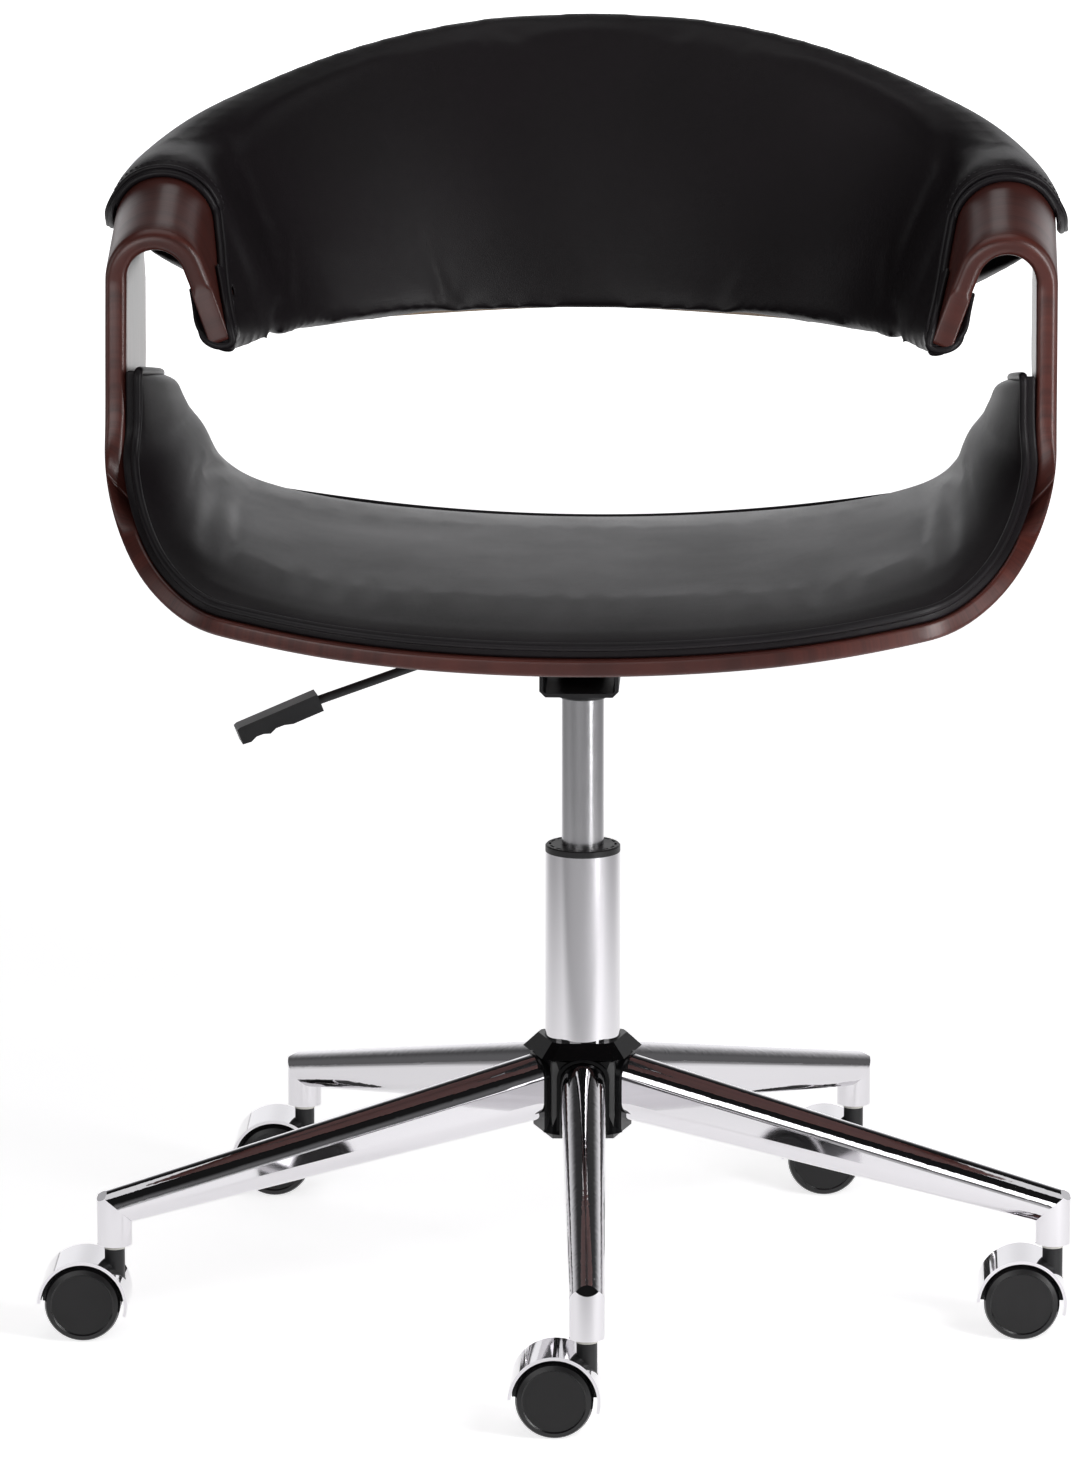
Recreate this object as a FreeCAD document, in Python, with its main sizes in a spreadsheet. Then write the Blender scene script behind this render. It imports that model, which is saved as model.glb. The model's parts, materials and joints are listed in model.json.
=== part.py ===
import FreeCAD, Part
import Sketcher
import math
import os

# Office chair: a bent plywood seat shell with arched plywood arms and a wrap-round padded back,
# on a height-adjusting gas column, a five-legged chromed star base and twin-wheel castors.
# The frame has its origin on the floor under the column, +Z up, and the sitter faces -Y.

Vector = FreeCAD.Vector
Rotation = FreeCAD.Rotation
Placement = FreeCAD.Placement

doc = FreeCAD.newDocument("OfficeChair")
sheet = doc.addObject("Spreadsheet::Sheet", "Sizes")

# Every driving size, in millimetres and degrees: alias, value, meaning.
SIZES = [
    # Star base
    ("star_radius", 326, "column axis to castor stem axis"),
    ("star_turn", 2.2, "turn of the front leg about the column"),
    ("core_diameter", 56, "steel hub the legs are welded to"),
    ("core_bottom", 113.5, "height of the hub's lower face"),
    ("core_top", 166, "height of the hub's upper face"),
    ("leg_root_height", 45.5, "leg section height at the hub"),
    ("leg_root_width", 30.3, "leg section width at the hub"),
    ("leg_root_level", 146, "height of the leg's centre line at the hub"),
    ("leg_end_height", 25, "leg section height at the castor"),
    ("leg_end_level", 86.5, "height of the leg's centre line at the castor"),
    ("leg_wall", 1.8, "wall of the leg tube"),
    ("head_length", 5.0, "solid length of the leg between its hollow and the upright tube"),
    ("socket_diameter", 23.1, "upright tube that takes the castor stem"),
    ("socket_bottom", 61.5, "height of the upright tube's lower end"),
    ("corner_clip", 5, "flat ground across the outer corner of the mitre"),
    # Hub cover
    ("cover_bottom", 117, "height of the skirt's lower edge"),
    ("cover_foot_radius", 36.3, "skirt radius at its lower edge"),
    ("cover_waist_radius", 31.6, "skirt radius at its narrowest"),
    ("cover_waist_level", 145, "height of the narrowest place"),
    ("crown_radius", 40.6, "radius over the crown's corners"),
    ("crown_level", 168.8, "height of the crown's sharp edge"),
    ("crown_top_radius", 30.4, "radius over the corners of the crown's top"),
    ("cover_top", 178.4, "height of the crown's top face"),
    ("crown_half_facet", 29.5, "half angle of each long facet of the crown"),
    ("slot_gap", 0.4, "gap between a leg and its slot in the cover"),
    ("rim_width", 2, "moulded rim round each slot"),
    ("rim_reach", 35.6, "radius that the moulded rims reach"),
    # Gas column
    ("tube_diameter", 50, "outer tube"),
    ("tube_wall", 2, "wall of the outer tube"),
    ("tube_top", 304.5, "height of the outer tube's upper end"),
    ("tube_foot_diameter", 48, "outer tube at the lower end of its taper"),
    ("tube_floor", 120.5, "height of the tube's inner floor"),
    ("floor_thickness", 2.5, "floor plate of the outer tube"),
    ("collar_height", 4.6, "collar of the guide bush above the tube"),
    ("bush_length", 56, "guide bush inside the tube"),
    ("cylinder_diameter", 28, "gas cylinder"),
    ("cylinder_bore", 24.6, "bore of the gas cylinder"),
    ("cylinder_bottom", 226, "height of the cylinder's lower end"),
    ("cylinder_cap", 12, "end cap of the cylinder"),
    ("cylinder_top", 456, "height of the cylinder's upper end"),
    ("taper_angle", 1.44, "half angle of the cylinder's locking taper"),
    ("rod_diameter", 10, "piston rod"),
    ("piston_level", 262, "height of the piston's lower face"),
    ("piston_height", 12, "piston"),
    ("bearing_diameter", 26, "thrust bearing"),
    ("bearing_height", 6.3, "thrust bearing"),
    ("shoulder_height", 2, "rod shoulder that stands on the bearing"),
    ("bumper_height", 10, "rubber bump stop above the shoulder"),
    ("clip_diameter", 17, "retaining clip under the floor plate"),
    ("clip_thickness", 1.2, "retaining clip"),
    ("running_gap", 0.05, "radial gap of every running fit"),
    ("seat_gap", 0.3, "gap between parts that are seated on each other"),
    # Seat mechanism
    ("holder_diameter", 33.8, "tapered holder for the gas cylinder"),
    ("holder_bottom", 409.5, "height of the holder's lower end"),
    ("holder_top", 458.5, "height of the holder's upper end"),
    ("channel_width", 52, "pressed channel"),
    ("channel_floor", 428, "height of the channel's lower face"),
    ("channel_sheet", 2.5, "sheet of the channel"),
    ("channel_length", 180, "channel, front to rear"),
    ("channel_flange", 25, "flange each side of the channel"),
    ("channel_bend", 4, "outer bend of the channel's lower corners"),
    ("bolt_diameter", 6, "bolts up into the shell"),
    ("bolt_head", 11, "bolt head"),
    ("bolt_head_height", 3, "bolt head"),
    ("bolt_reach", 9, "bolt above the flange"),
    ("bolt_pitch", 140, "bolts, front to rear"),
    ("pin_diameter", 6, "release pin in the cylinder's upper end"),
    ("pin_stand", 5.7, "release pin above the cylinder"),
    ("pin_length", 16, "release pin"),
    ("lever_diameter", 6, "lever rod"),
    ("lever_level", 465, "height of the lever's pivot"),
    ("lever_pivot", 34, "column axis to the lever's pivot"),
    ("lever_eye", 11, "forged eye round the lever's pivot pin"),
    ("lever_bend", 46, "column axis to the rod's bend"),
    ("lever_drop_reach", 105, "column axis to the rod's second bend"),
    ("lever_drop", 31, "fall between the rod's two bends"),
    ("lever_reach", 174, "column axis to the inner end of the grip"),
    ("lever_fall", 53.5, "fall from the pivot to the inner end of the grip"),
    ("grip_slope", 21.5, "grip below the level"),
    ("lever_sweep", 12, "rod and grip towards the front"),
    ("pivot_pin", 4, "lever's pivot pin"),
    ("grip_length", 58, "lever grip"),
    ("grip_height", 12, "lever grip"),
    ("grip_width", 17, "lever grip, front to rear"),
    ("grip_overlap", 14, "rod held inside the grip"),
    # Seat shell
    ("shell_half_width", 310.5, "centre to the outer face of shell and arms"),
    ("shell_bottom", 473.5, "height of the shell's lowest line"),
    ("shell_thickness", 11.5, "plywood of the shell"),
    ("shell_bottom_radius", 1300, "gentle curve across the seat"),
    ("shell_corner_radius", 100, "curve up into the sides"),
    ("seat_front", -240, "front edge of the shell"),
    ("seat_rear", 190, "rear edge of the shell"),
    ("arm_joint", 575, "height of the scarf between shell and arms"),
    ("scarf_rise", 14, "rise of the scarf across the plywood"),
    # Arms
    ("arm_thickness", 14, "plywood of the arms"),
    ("arm_front", -60, "front edge of the arms at the arch"),
    ("arm_front_foot", -78, "front edge of the arms at the scarf"),
    ("arm_rear", 114, "rear edge of the arms at the scarf"),
    ("arm_rear_top", 76, "rear edge of the arms under the back's cover"),
    ("arch_radius", 33, "outer curve of the arch"),
    ("arch_level", 697, "height of the arch's centre at its front edge"),
    ("arch_slope", 14, "rise of the arch towards the rear"),
    ("arm_tilt", 21, "tilt of the short inner leg"),
    ("inner_leg_end", 657, "height of the inner leg's lower end"),
    ("dowel_diameter", 5, "dowels in the scarf joints"),
    ("dowel_length", 30, "dowels in the scarf joints"),
    # Back
    ("rim_depth", 28, "front edge of the padded back on the arch"),
    ("ridge_inset", 32.5, "the arms' outer face to the back's top line there"),
    ("ridge_depth", 220.5, "the rim's line to the top line at the centre"),
    ("ridge_arm_level", 757, "height of the top line at the arms"),
    ("ridge_level", 832.5, "height of the top line at the centre"),
    ("sleeve_half", 37, "half width of the padded sleeve over the arms"),
    ("back_half", 15, "half thickness of the back's top at the centre"),
    ("foot_inset", 103, "the arms' outer face to the back's lower line at the rim"),
    ("foot_depth", 137, "the rim's line to the lower line at the centre"),
    ("foot_arm_level", 647.5, "height of the lower line at the rim"),
    ("foot_level", 638.4, "height of the lower line at the centre"),
    ("flap_inset", -4, "the arms' outer face to the outer flap's lower edge at the rim"),
    ("tail_depth", 167, "the rim's line to the rear lower edge at the centre"),
    ("flap_level", 719, "height of the outer flap's lower edge at the rim"),
    ("tail_level", 639.5, "height of the rear lower edge at the centre"),
    ("core_offset", 11, "front skin to the plywood core at the centre"),
    ("core_offset_arm", 4.5, "front skin to the plywood core at the arms"),
    ("core_thickness", 9, "plywood core of the back"),
    ("back_crown", 5, "swell of the back's front face"),
    ("tunnel_inset", 57.5, "the arms' outer face to the padding beside their inner legs"),
    ("tunnel_depth", 94, "depth to which the passage under the arch reaches"),
    ("back_bolt_length", 19, "bolts from the arms' inner legs into the core"),
    # Seat pad
    ("pad_edge", 8, "pad at its sewn edge"),
    ("pad_crown", 15, "swell of the pad above its edge"),
    ("pad_inset", 3, "pad's edge inside the shell's edge"),
    ("pad_side_level", 640, "height of the pad's sides at the arms' front edge"),
    ("pad_side_drop", 35, "fall of the pad's sides towards the rear"),
    # Castors
    ("castor_trail", 20.3, "stem axis to axle"),
    ("castor_turn", 180, "direction in which the castors trail"),
    ("wheel_diameter", 50, "wheels"),
    ("wheel_width", 18, "each wheel"),
    ("wheel_spacing", 9, "between the two wheels"),
    ("wheel_round", 4, "rounding of the tread's outer edge"),
    ("axle_diameter", 6, "axle"),
    ("axle_depth", 13, "axle inside each wheel"),
    ("body_width", 8, "web between the wheels"),
    ("neck_diameter", 13.4, "neck round the stem"),
    ("neck_top", 58.6, "height of the neck's upper face"),
    ("neck_bottom", 32, "height of the neck's lower end"),
    ("hood_radius", 29.8, "hood over the wheels"),
    ("hood_thickness", 2.2, "hood"),
    ("hood_width", 46, "hood, along the axle"),
    ("hood_rise", 2, "angle by which the hood's trailing end is cut short"),
    ("hood_drop", 15, "angle by which the hood's stem end goes below the axle"),
    ("stem_diameter", 11, "castor stem"),
    ("stem_top", 90, "height of the stem's upper end"),
    ("stem_bottom", 42, "height of the stem's lower end"),
    ("sleeve_diameter", 19.4, "bush that the stem turns in"),
    ("sleeve_top", 91.5, "height of the bush's upper end"),
    ("sleeve_nose_diameter", 14.3, "bush below the upright tube"),
    ("sleeve_nose", 2.6, "bush below the upright tube"),
]

for row, (alias, value, meaning) in enumerate(SIZES, start=1):
    sheet.set("A%d" % row, alias)
    sheet.set("B%d" % row, str(value))
    sheet.set("C%d" % row, meaning)
    sheet.setAlias("B%d" % row, alias)
doc.recompute()

LEG_NAMES = ["front", "front_left", "rear_left", "rear_right", "front_right"]
nodes = []


def size(alias):
    """The value of one cell of the sheet."""
    return float(sheet.get(alias))


def value_of(expression):
    """The number that an expression on the sheet gives now."""
    return float(sheet.evalExpression(expression))


def origin_plane(body, role):
    """One of a body's own origin planes or axes."""
    return [item for item in body.Origin.OriginFeatures if item.Role == role][0]


def polygon_sketch(body, name, role, corners):
    """A closed sketch whose corners are bound to expressions of the sheet."""
    sketch = body.newObject("Sketcher::SketchObject", name)
    sketch.AttachmentSupport = [(origin_plane(body, role), "")]
    sketch.MapMode = "FlatFace"
    spots = [Vector(value_of(across), value_of(up), 0) for across, up in corners]
    count = len(spots)
    for index in range(count):
        sketch.addGeometry(Part.LineSegment(spots[index], spots[(index + 1) % count]), False)
    for index in range(count):
        sketch.addConstraint(Sketcher.Constraint("Coincident", index, 2, (index + 1) % count, 1))
    for index, (across, up) in enumerate(corners):
        for kind, expression, start in (("DistanceX", across, spots[index].x),
                                        ("DistanceY", up, spots[index].y)):
            number = sketch.addConstraint(Sketcher.Constraint(kind, -1, 1, index, 1, start))
            sketch.setExpression("Constraints[%d]" % number, expression)
    return sketch


def keep(item, name, placement=None):
    """Name a finished sub-part, put it in its place and list it for writing."""
    item.Label = name
    if placement is not None:
        item.Placement = placement
    nodes.append(item)
    return item


def turned(name, corners, placement=None):
    """A body turned about its own Z axis from a half profile of (radius, height) corners."""
    body = doc.addObject("PartDesign::Body", name + "_body")
    sketch = polygon_sketch(body, name + "_profile", "XZ_Plane", corners)
    turn = body.newObject("PartDesign::Revolution", name + "_turn")
    turn.Profile = sketch
    turn.ReferenceAxis = (sketch, ["V_Axis"])
    turn.Angle = 360
    body.Tip = turn
    return keep(body, name, placement)


def shaped(name, shape, placement=None):
    """A sub-part whose shape is worked out below from the sheet's sizes."""
    item = doc.addObject("Part::Feature", name + "_shape")
    item.Shape = shape
    return keep(item, name, placement)


def bound(kind, name, **expressions):
    """A Part primitive whose properties are bound to expressions of the sheet."""
    item = doc.addObject(kind, name)
    for prop, expression in expressions.items():
        item.setExpression(prop.replace("__", "."), expression)
    return item


def prism(points, direction):
    """A straight prism of a closed polygon."""
    wire = Part.makePolygon(list(points) + [points[0]])
    return Part.Face(wire).extrude(direction)


def solid_of(shape):
    """The single solid of a boolean's result."""
    clean = shape.removeSplitter()
    solids = clean.Solids
    return solids[0] if len(solids) == 1 else clean


def leg_angle(index):
    """Direction of a leg, seen from above, in degrees."""
    return size("star_turn") - 90 - 72 * index


def round_column(angle):
    """The placement of a piece built along +X and turned about the column."""
    return Placement(Vector(0, 0, 0), Rotation(Vector(0, 0, 1), angle))


def leg_section(reach, offset):
    """The leg's oval section at a distance from the column, grown by an offset."""
    share = (reach - size("core_diameter") / 2) / (size("star_radius") - size("core_diameter") / 2)
    height = size("leg_root_height") + share * (size("leg_end_height") - size("leg_root_height"))
    width = size("leg_root_width") + share * (size("socket_diameter") - size("leg_root_width"))
    level = size("leg_root_level") + share * (size("leg_end_level") - size("leg_root_level"))
    half = width / 2 + offset
    upper = level + (height - width) / 2
    lower = level - (height - width) / 2
    corners = [Vector(reach, half, upper), Vector(reach, -half, upper),
               Vector(reach, -half, lower), Vector(reach, half, lower)]
    return Part.Wire([
        Part.Arc(corners[0], Vector(reach, 0, upper + half), corners[1]).toShape(),
        Part.LineSegment(corners[1], corners[2]).toShape(),
        Part.Arc(corners[2], Vector(reach, 0, lower - half), corners[3]).toShape(),
        Part.LineSegment(corners[3], corners[0]).toShape(),
    ])


def leg_tube(start, end, offset):
    """The tapering oval tube of a leg between two distances from the column."""
    return Part.makeLoft([leg_section(start, offset), leg_section(end, offset)], True, True)


def leg_head():
    """The outer end of a leg: its oval mitred to the upright tube that holds the castor."""
    star = size("star_radius")
    half = size("socket_diameter") / 2
    outer = star + half
    inner = star - half
    bore = size("sleeve_diameter") / 2 + size("running_gap")
    slope = (size("leg_end_level") - size("leg_root_level")) / (star - size("core_diameter") / 2)
    rise = size("leg_end_height") / 2
    top = size("leg_end_level") + slope * half + rise
    low = size("leg_end_level") - slope * half - rise
    # The mitre runs from the lower inner corner to the upper outer corner.
    run = Vector(outer - inner, 0, top - low)
    normal = Vector(-run.z, 0, run.x).normalize()
    corner = Vector(inner, 0, low)
    step = Vector(run).normalize() * 2 * star
    side = Vector(0, 4 * half, 0)
    above = prism([corner - step - side, corner + step - side,
                   corner + step + side, corner - step + side], normal * 2 * star)
    arm = leg_tube(inner - size("head_length"), outer + 2 * half, 0).common(above)
    upright = Part.makeCylinder(half, top - size("socket_bottom") + 2 * half,
                                Vector(star, 0, size("socket_bottom"))).cut(above)
    head = arm.fuse(upright)
    clip = size("corner_clip")
    block = Part.makeBox(4 * half, 4 * half, 4 * half, Vector(0, -2 * half, -2 * half))
    block.Placement = Placement(Vector(outer - clip, 0, top),
                                Rotation(Vector(1, 0, 0), Vector(clip, 0, clip).normalize()))
    head = head.cut(block)
    return head.cut(Part.makeCylinder(bore, size("sleeve_top") - size("socket_bottom") + bore,
                                      Vector(star, 0, size("socket_bottom") - bore)))


def leg_shape():
    """One leg: a hollow oval tube from the hub's flat, closed by the mitred head."""
    root = size("core_diameter") / 2
    knee = size("star_radius") - size("socket_diameter") / 2 - size("head_length")
    hollow = leg_tube(root, knee, -size("leg_wall"))
    return solid_of(leg_tube(root, knee, 0).cut(hollow).fuse(leg_head()))


def build_legs():
    shape = leg_shape()
    for index, name in enumerate(LEG_NAMES):
        shaped("leg_" + name, shape.copy(), round_column(leg_angle(index)))


def hub_block(gap, bottom, top):
    """The hub's five-sided outside, grown by a gap, with one flat towards each leg."""
    radius = (size("core_diameter") / 2 + gap) / math.cos(math.pi / 5)
    points = []
    for index in range(5):
        angle = math.radians(leg_angle(index) + 36)
        points.append(Vector(radius * math.cos(angle), radius * math.sin(angle), bottom))
    return prism(points, Vector(0, 0, top - bottom))


def build_hub_core():
    """The steel hub: five flats that the legs are welded to, and a bore the column wedges into."""
    block = hub_block(0, size("core_bottom"), size("core_top"))
    bore = Part.makeCone(size("tube_foot_diameter") / 2 + size("running_gap"),
                         size("tube_diameter") / 2 + size("running_gap"),
                         size("core_top") - size("core_bottom"), Vector(0, 0, size("core_bottom")))
    shaped("hub_core", solid_of(block.cut(bore)))


def crown_polygon(radius, level):
    """The crown's outline: a pentagon with its corners cut off."""
    points = []
    for index in range(5):
        for side in (1, -1):
            angle = math.radians(leg_angle(index) + side * size("crown_half_facet"))
            points.append(Vector(radius * math.cos(angle), radius * math.sin(angle), level))
    return Part.makePolygon(points + [points[0]])


def build_hub_cover():
    """The moulded cover: a waisted skirt, a faceted crown and an arched slot over each leg."""
    foot, waist = size("cover_foot_radius"), size("cover_waist_radius")
    bottom, crown = size("cover_bottom"), size("crown_level")
    throat = crown - size("rim_width")
    curve = Part.Arc(Vector(foot, 0, bottom), Vector(waist, 0, size("cover_waist_level")),
                     Vector(waist + size("rim_width"), 0, throat)).toShape()
    lines = Part.makePolygon([Vector(waist + size("rim_width"), 0, throat),
                              Vector(0, 0, throat), Vector(0, 0, bottom), Vector(foot, 0, bottom)])
    skirt = Part.Face(Part.Wire([curve] + lines.Edges)).revolve(Vector(0, 0, 0), Vector(0, 0, 1), 360)
    underside = crown_polygon(waist + size("rim_width"), throat)
    edge = crown_polygon(size("crown_radius"), crown)
    top = crown_polygon(size("crown_top_radius"), size("cover_top"))
    cover = skirt.fuse(Part.makeLoft([underside, edge], True, True))
    cover = cover.fuse(Part.makeLoft([edge, top], True, True))
    reach = size("rim_reach")
    for index in range(5):
        turn = round_column(leg_angle(index))
        rim = slot_tool(size("slot_gap") + size("rim_width"), size("cover_bottom"))
        rim = rim.common(Part.makeCylinder(reach, throat, Vector(0, 0, bottom)))
        rim.Placement = turn
        cover = cover.fuse(rim)
    for index in range(5):
        slot = slot_tool(size("slot_gap"), size("cover_bottom") - size("cover_foot_radius"))
        slot.Placement = round_column(leg_angle(index))
        cover = cover.cut(slot)
    cover = cover.cut(hub_block(size("seat_gap"), bottom - 1, size("core_top") + size("seat_gap")))
    cover = cover.cut(Part.makeCylinder(size("tube_diameter") / 2 + size("seat_gap"),
                                        size("cover_top"), Vector(0, 0, bottom)))
    shaped("hub_cover", solid_of(cover))


def slot_tool(offset, bottom):
    """The arched passage of one leg through the cover, open at the bottom."""
    start, end = size("core_diameter") / 4, 2 * size("crown_radius")
    half = size("leg_root_width") / 2 + offset
    oval = leg_tube(start, end, offset)
    level = size("leg_root_level")
    drop = Part.makeBox(end - start, 2 * half, level - bottom, Vector(start, -half, bottom))
    return oval.fuse(drop)


# Gas column


def build_column():
    turned("column_tube", [
        ("Sizes.rod_diameter / 2 + Sizes.seat_gap", "Sizes.tube_floor - Sizes.floor_thickness"),
        ("Sizes.tube_foot_diameter / 2 - Sizes.tube_wall", "Sizes.tube_floor - Sizes.floor_thickness"),
        ("Sizes.tube_foot_diameter / 2 - Sizes.tube_wall", "Sizes.core_bottom + Sizes.seat_gap"),
        ("Sizes.tube_foot_diameter / 2", "Sizes.core_bottom + Sizes.seat_gap"),
        ("Sizes.tube_diameter / 2", "Sizes.core_top"),
        ("Sizes.tube_diameter / 2", "Sizes.tube_top"),
        ("Sizes.tube_diameter / 2 - Sizes.tube_wall", "Sizes.tube_top"),
        ("Sizes.tube_diameter / 2 - Sizes.tube_wall", "Sizes.core_top"),
        ("Sizes.tube_foot_diameter / 2 - Sizes.tube_wall", "Sizes.tube_floor"),
        ("Sizes.rod_diameter / 2 + Sizes.seat_gap", "Sizes.tube_floor"),
    ])
    bush_body = doc.addObject("PartDesign::Body", "guide_bush_body")
    profile = polygon_sketch(bush_body, "guide_bush_profile", "XZ_Plane", [
        ("Sizes.cylinder_diameter / 2 + Sizes.running_gap", "Sizes.tube_top - Sizes.bush_length"),
        ("Sizes.tube_diameter / 2 - Sizes.tube_wall - Sizes.running_gap",
         "Sizes.tube_top - Sizes.bush_length"),
        ("Sizes.tube_diameter / 2 - Sizes.tube_wall - Sizes.running_gap", "Sizes.tube_top"),
        ("Sizes.tube_diameter / 2", "Sizes.tube_top"),
        ("Sizes.tube_diameter / 2", "Sizes.tube_top + Sizes.collar_height - 0.8"),
        ("Sizes.tube_diameter / 2 - 0.8", "Sizes.tube_top + Sizes.collar_height"),
        ("Sizes.cylinder_diameter / 2 + Sizes.running_gap", "Sizes.tube_top + Sizes.collar_height"),
    ])
    turn = bush_body.newObject("PartDesign::Revolution", "guide_bush_turn")
    turn.Profile = profile
    turn.ReferenceAxis = (profile, ["V_Axis"])
    turn.Angle = 360
    slot = polygon_sketch(bush_body, "guide_bush_slot", "XZ_Plane", [
        ("Sizes.tube_diameter / 2 - 4", "Sizes.tube_top + Sizes.collar_height - 1.6"),
        ("Sizes.tube_diameter / 2 - 2.4", "Sizes.tube_top + Sizes.collar_height - 1.6"),
        ("Sizes.tube_diameter / 2 - 2.4", "Sizes.tube_top + Sizes.collar_height + 1"),
        ("Sizes.tube_diameter / 2 - 4", "Sizes.tube_top + Sizes.collar_height + 1"),
    ])
    groove = bush_body.newObject("PartDesign::Groove", "guide_bush_groove")
    groove.Profile = slot
    groove.ReferenceAxis = (slot, ["V_Axis"])
    groove.Angle = 14
    groove.Midplane = True
    ring = bush_body.newObject("PartDesign::PolarPattern", "guide_bush_ring")
    ring.Originals = [groove]
    ring.Axis = (origin_plane(bush_body, "Z_Axis"), [""])
    ring.Angle = 360
    ring.Occurrences = 16
    bush_body.Tip = ring
    keep(bush_body, "guide_bush")
    turned("thrust_bearing", [
        ("Sizes.rod_diameter / 2 + Sizes.seat_gap", "Sizes.tube_floor"),
        ("Sizes.bearing_diameter / 2", "Sizes.tube_floor"),
        ("Sizes.bearing_diameter / 2", "Sizes.tube_floor + Sizes.bearing_height"),
        ("Sizes.rod_diameter / 2 + Sizes.seat_gap", "Sizes.tube_floor + Sizes.bearing_height"),
    ])


SHOULDER = "Sizes.tube_floor + Sizes.bearing_height + Sizes.running_gap"
CLIP_TOP = "Sizes.tube_floor - Sizes.floor_thickness - Sizes.running_gap"


def build_piston():
    """The piston rod turns on the thrust bearing and is held down by the clip."""
    turned("piston_rod", [
        ("0", CLIP_TOP + " - 3"),
        ("Sizes.rod_diameter / 2 - 1", CLIP_TOP + " - 3"),
        ("Sizes.rod_diameter / 2", CLIP_TOP + " - 2"),
        ("Sizes.rod_diameter / 2", CLIP_TOP + " - Sizes.clip_thickness"),
        ("Sizes.rod_diameter / 2 - 1", CLIP_TOP + " - Sizes.clip_thickness"),
        ("Sizes.rod_diameter / 2 - 1", CLIP_TOP),
        ("Sizes.rod_diameter / 2", CLIP_TOP),
        ("Sizes.rod_diameter / 2", SHOULDER),
        ("Sizes.rod_diameter / 2 + 3", SHOULDER),
        ("Sizes.rod_diameter / 2 + 3", SHOULDER + " + Sizes.shoulder_height"),
        ("Sizes.rod_diameter / 2", SHOULDER + " + Sizes.shoulder_height"),
        ("Sizes.rod_diameter / 2", "Sizes.piston_level"),
        ("Sizes.cylinder_bore / 2 - Sizes.running_gap", "Sizes.piston_level"),
        ("Sizes.cylinder_bore / 2 - Sizes.running_gap", "Sizes.piston_level + Sizes.piston_height"),
        ("0", "Sizes.piston_level + Sizes.piston_height"),
    ])
    turned("retaining_clip", [
        ("Sizes.rod_diameter / 2 - 1", CLIP_TOP),
        ("Sizes.clip_diameter / 2", CLIP_TOP),
        ("Sizes.clip_diameter / 2", CLIP_TOP + " - Sizes.clip_thickness"),
        ("Sizes.rod_diameter / 2 - 1", CLIP_TOP + " - Sizes.clip_thickness"),
    ])
    turned("bump_stop", [
        ("Sizes.rod_diameter / 2", SHOULDER + " + Sizes.shoulder_height"),
        ("Sizes.rod_diameter / 2 + 7", SHOULDER + " + Sizes.shoulder_height"),
        ("Sizes.rod_diameter / 2 + 7", SHOULDER + " + Sizes.shoulder_height + Sizes.bumper_height - 3"),
        ("Sizes.rod_diameter / 2 + 5", SHOULDER + " + Sizes.shoulder_height + Sizes.bumper_height"),
        ("Sizes.rod_diameter / 2", SHOULDER + " + Sizes.shoulder_height + Sizes.bumper_height"),
    ])


TAPER_TOP = "Sizes.cylinder_diameter / 2 - (Sizes.cylinder_top - Sizes.holder_bottom)" \
            " * tan(Sizes.taper_angle * 1deg)"


def build_cylinder():
    """The gas cylinder, its locking taper and the release pin in its upper end."""
    turned("gas_cylinder", [
        ("Sizes.rod_diameter / 2 + Sizes.running_gap", "Sizes.cylinder_bottom"),
        ("Sizes.cylinder_diameter / 2 - 1", "Sizes.cylinder_bottom"),
        ("Sizes.cylinder_diameter / 2", "Sizes.cylinder_bottom + 1"),
        ("Sizes.cylinder_diameter / 2", "Sizes.holder_bottom"),
        (TAPER_TOP, "Sizes.cylinder_top"),
        ("Sizes.pin_diameter / 2 + Sizes.running_gap", "Sizes.cylinder_top"),
        ("Sizes.pin_diameter / 2 + Sizes.running_gap",
         "Sizes.cylinder_top + Sizes.pin_stand - Sizes.pin_length - 4"),
        ("0", "Sizes.cylinder_top + Sizes.pin_stand - Sizes.pin_length - 4"),
        ("0", "Sizes.holder_bottom - 10"),
        ("Sizes.cylinder_bore / 2", "Sizes.holder_bottom - 10"),
        ("Sizes.cylinder_bore / 2", "Sizes.cylinder_bottom + Sizes.cylinder_cap"),
        ("Sizes.rod_diameter / 2 + Sizes.running_gap", "Sizes.cylinder_bottom + Sizes.cylinder_cap"),
    ])
    turned("release_pin", [
        ("0", "Sizes.cylinder_top + Sizes.pin_stand - Sizes.pin_length"),
        ("Sizes.pin_diameter / 2", "Sizes.cylinder_top + Sizes.pin_stand - Sizes.pin_length"),
        ("Sizes.pin_diameter / 2", "Sizes.cylinder_top + Sizes.pin_stand - 1"),
        ("Sizes.pin_diameter / 2 - 1", "Sizes.cylinder_top + Sizes.pin_stand"),
        ("0", "Sizes.cylinder_top + Sizes.pin_stand"),
    ])
    turned("cylinder_holder", [
        ("Sizes.cylinder_diameter / 2 + Sizes.running_gap", "Sizes.holder_bottom"),
        ("Sizes.holder_diameter / 2 - 1", "Sizes.holder_bottom"),
        ("Sizes.holder_diameter / 2", "Sizes.holder_bottom + 1"),
        ("Sizes.holder_diameter / 2", "Sizes.holder_top"),
        (TAPER_TOP + " + Sizes.running_gap", "Sizes.holder_top"),
        (TAPER_TOP + " + Sizes.running_gap", "Sizes.cylinder_top"),
    ])


# Seat mechanism


def bolt_spots():
    """The four places where the channel is bolted up to the shell."""
    across = size("channel_width") / 2 + size("channel_flange") / 2
    along = size("bolt_pitch") / 2
    return [(side * across, end * along) for side in (1, -1) for end in (1, -1)]


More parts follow.
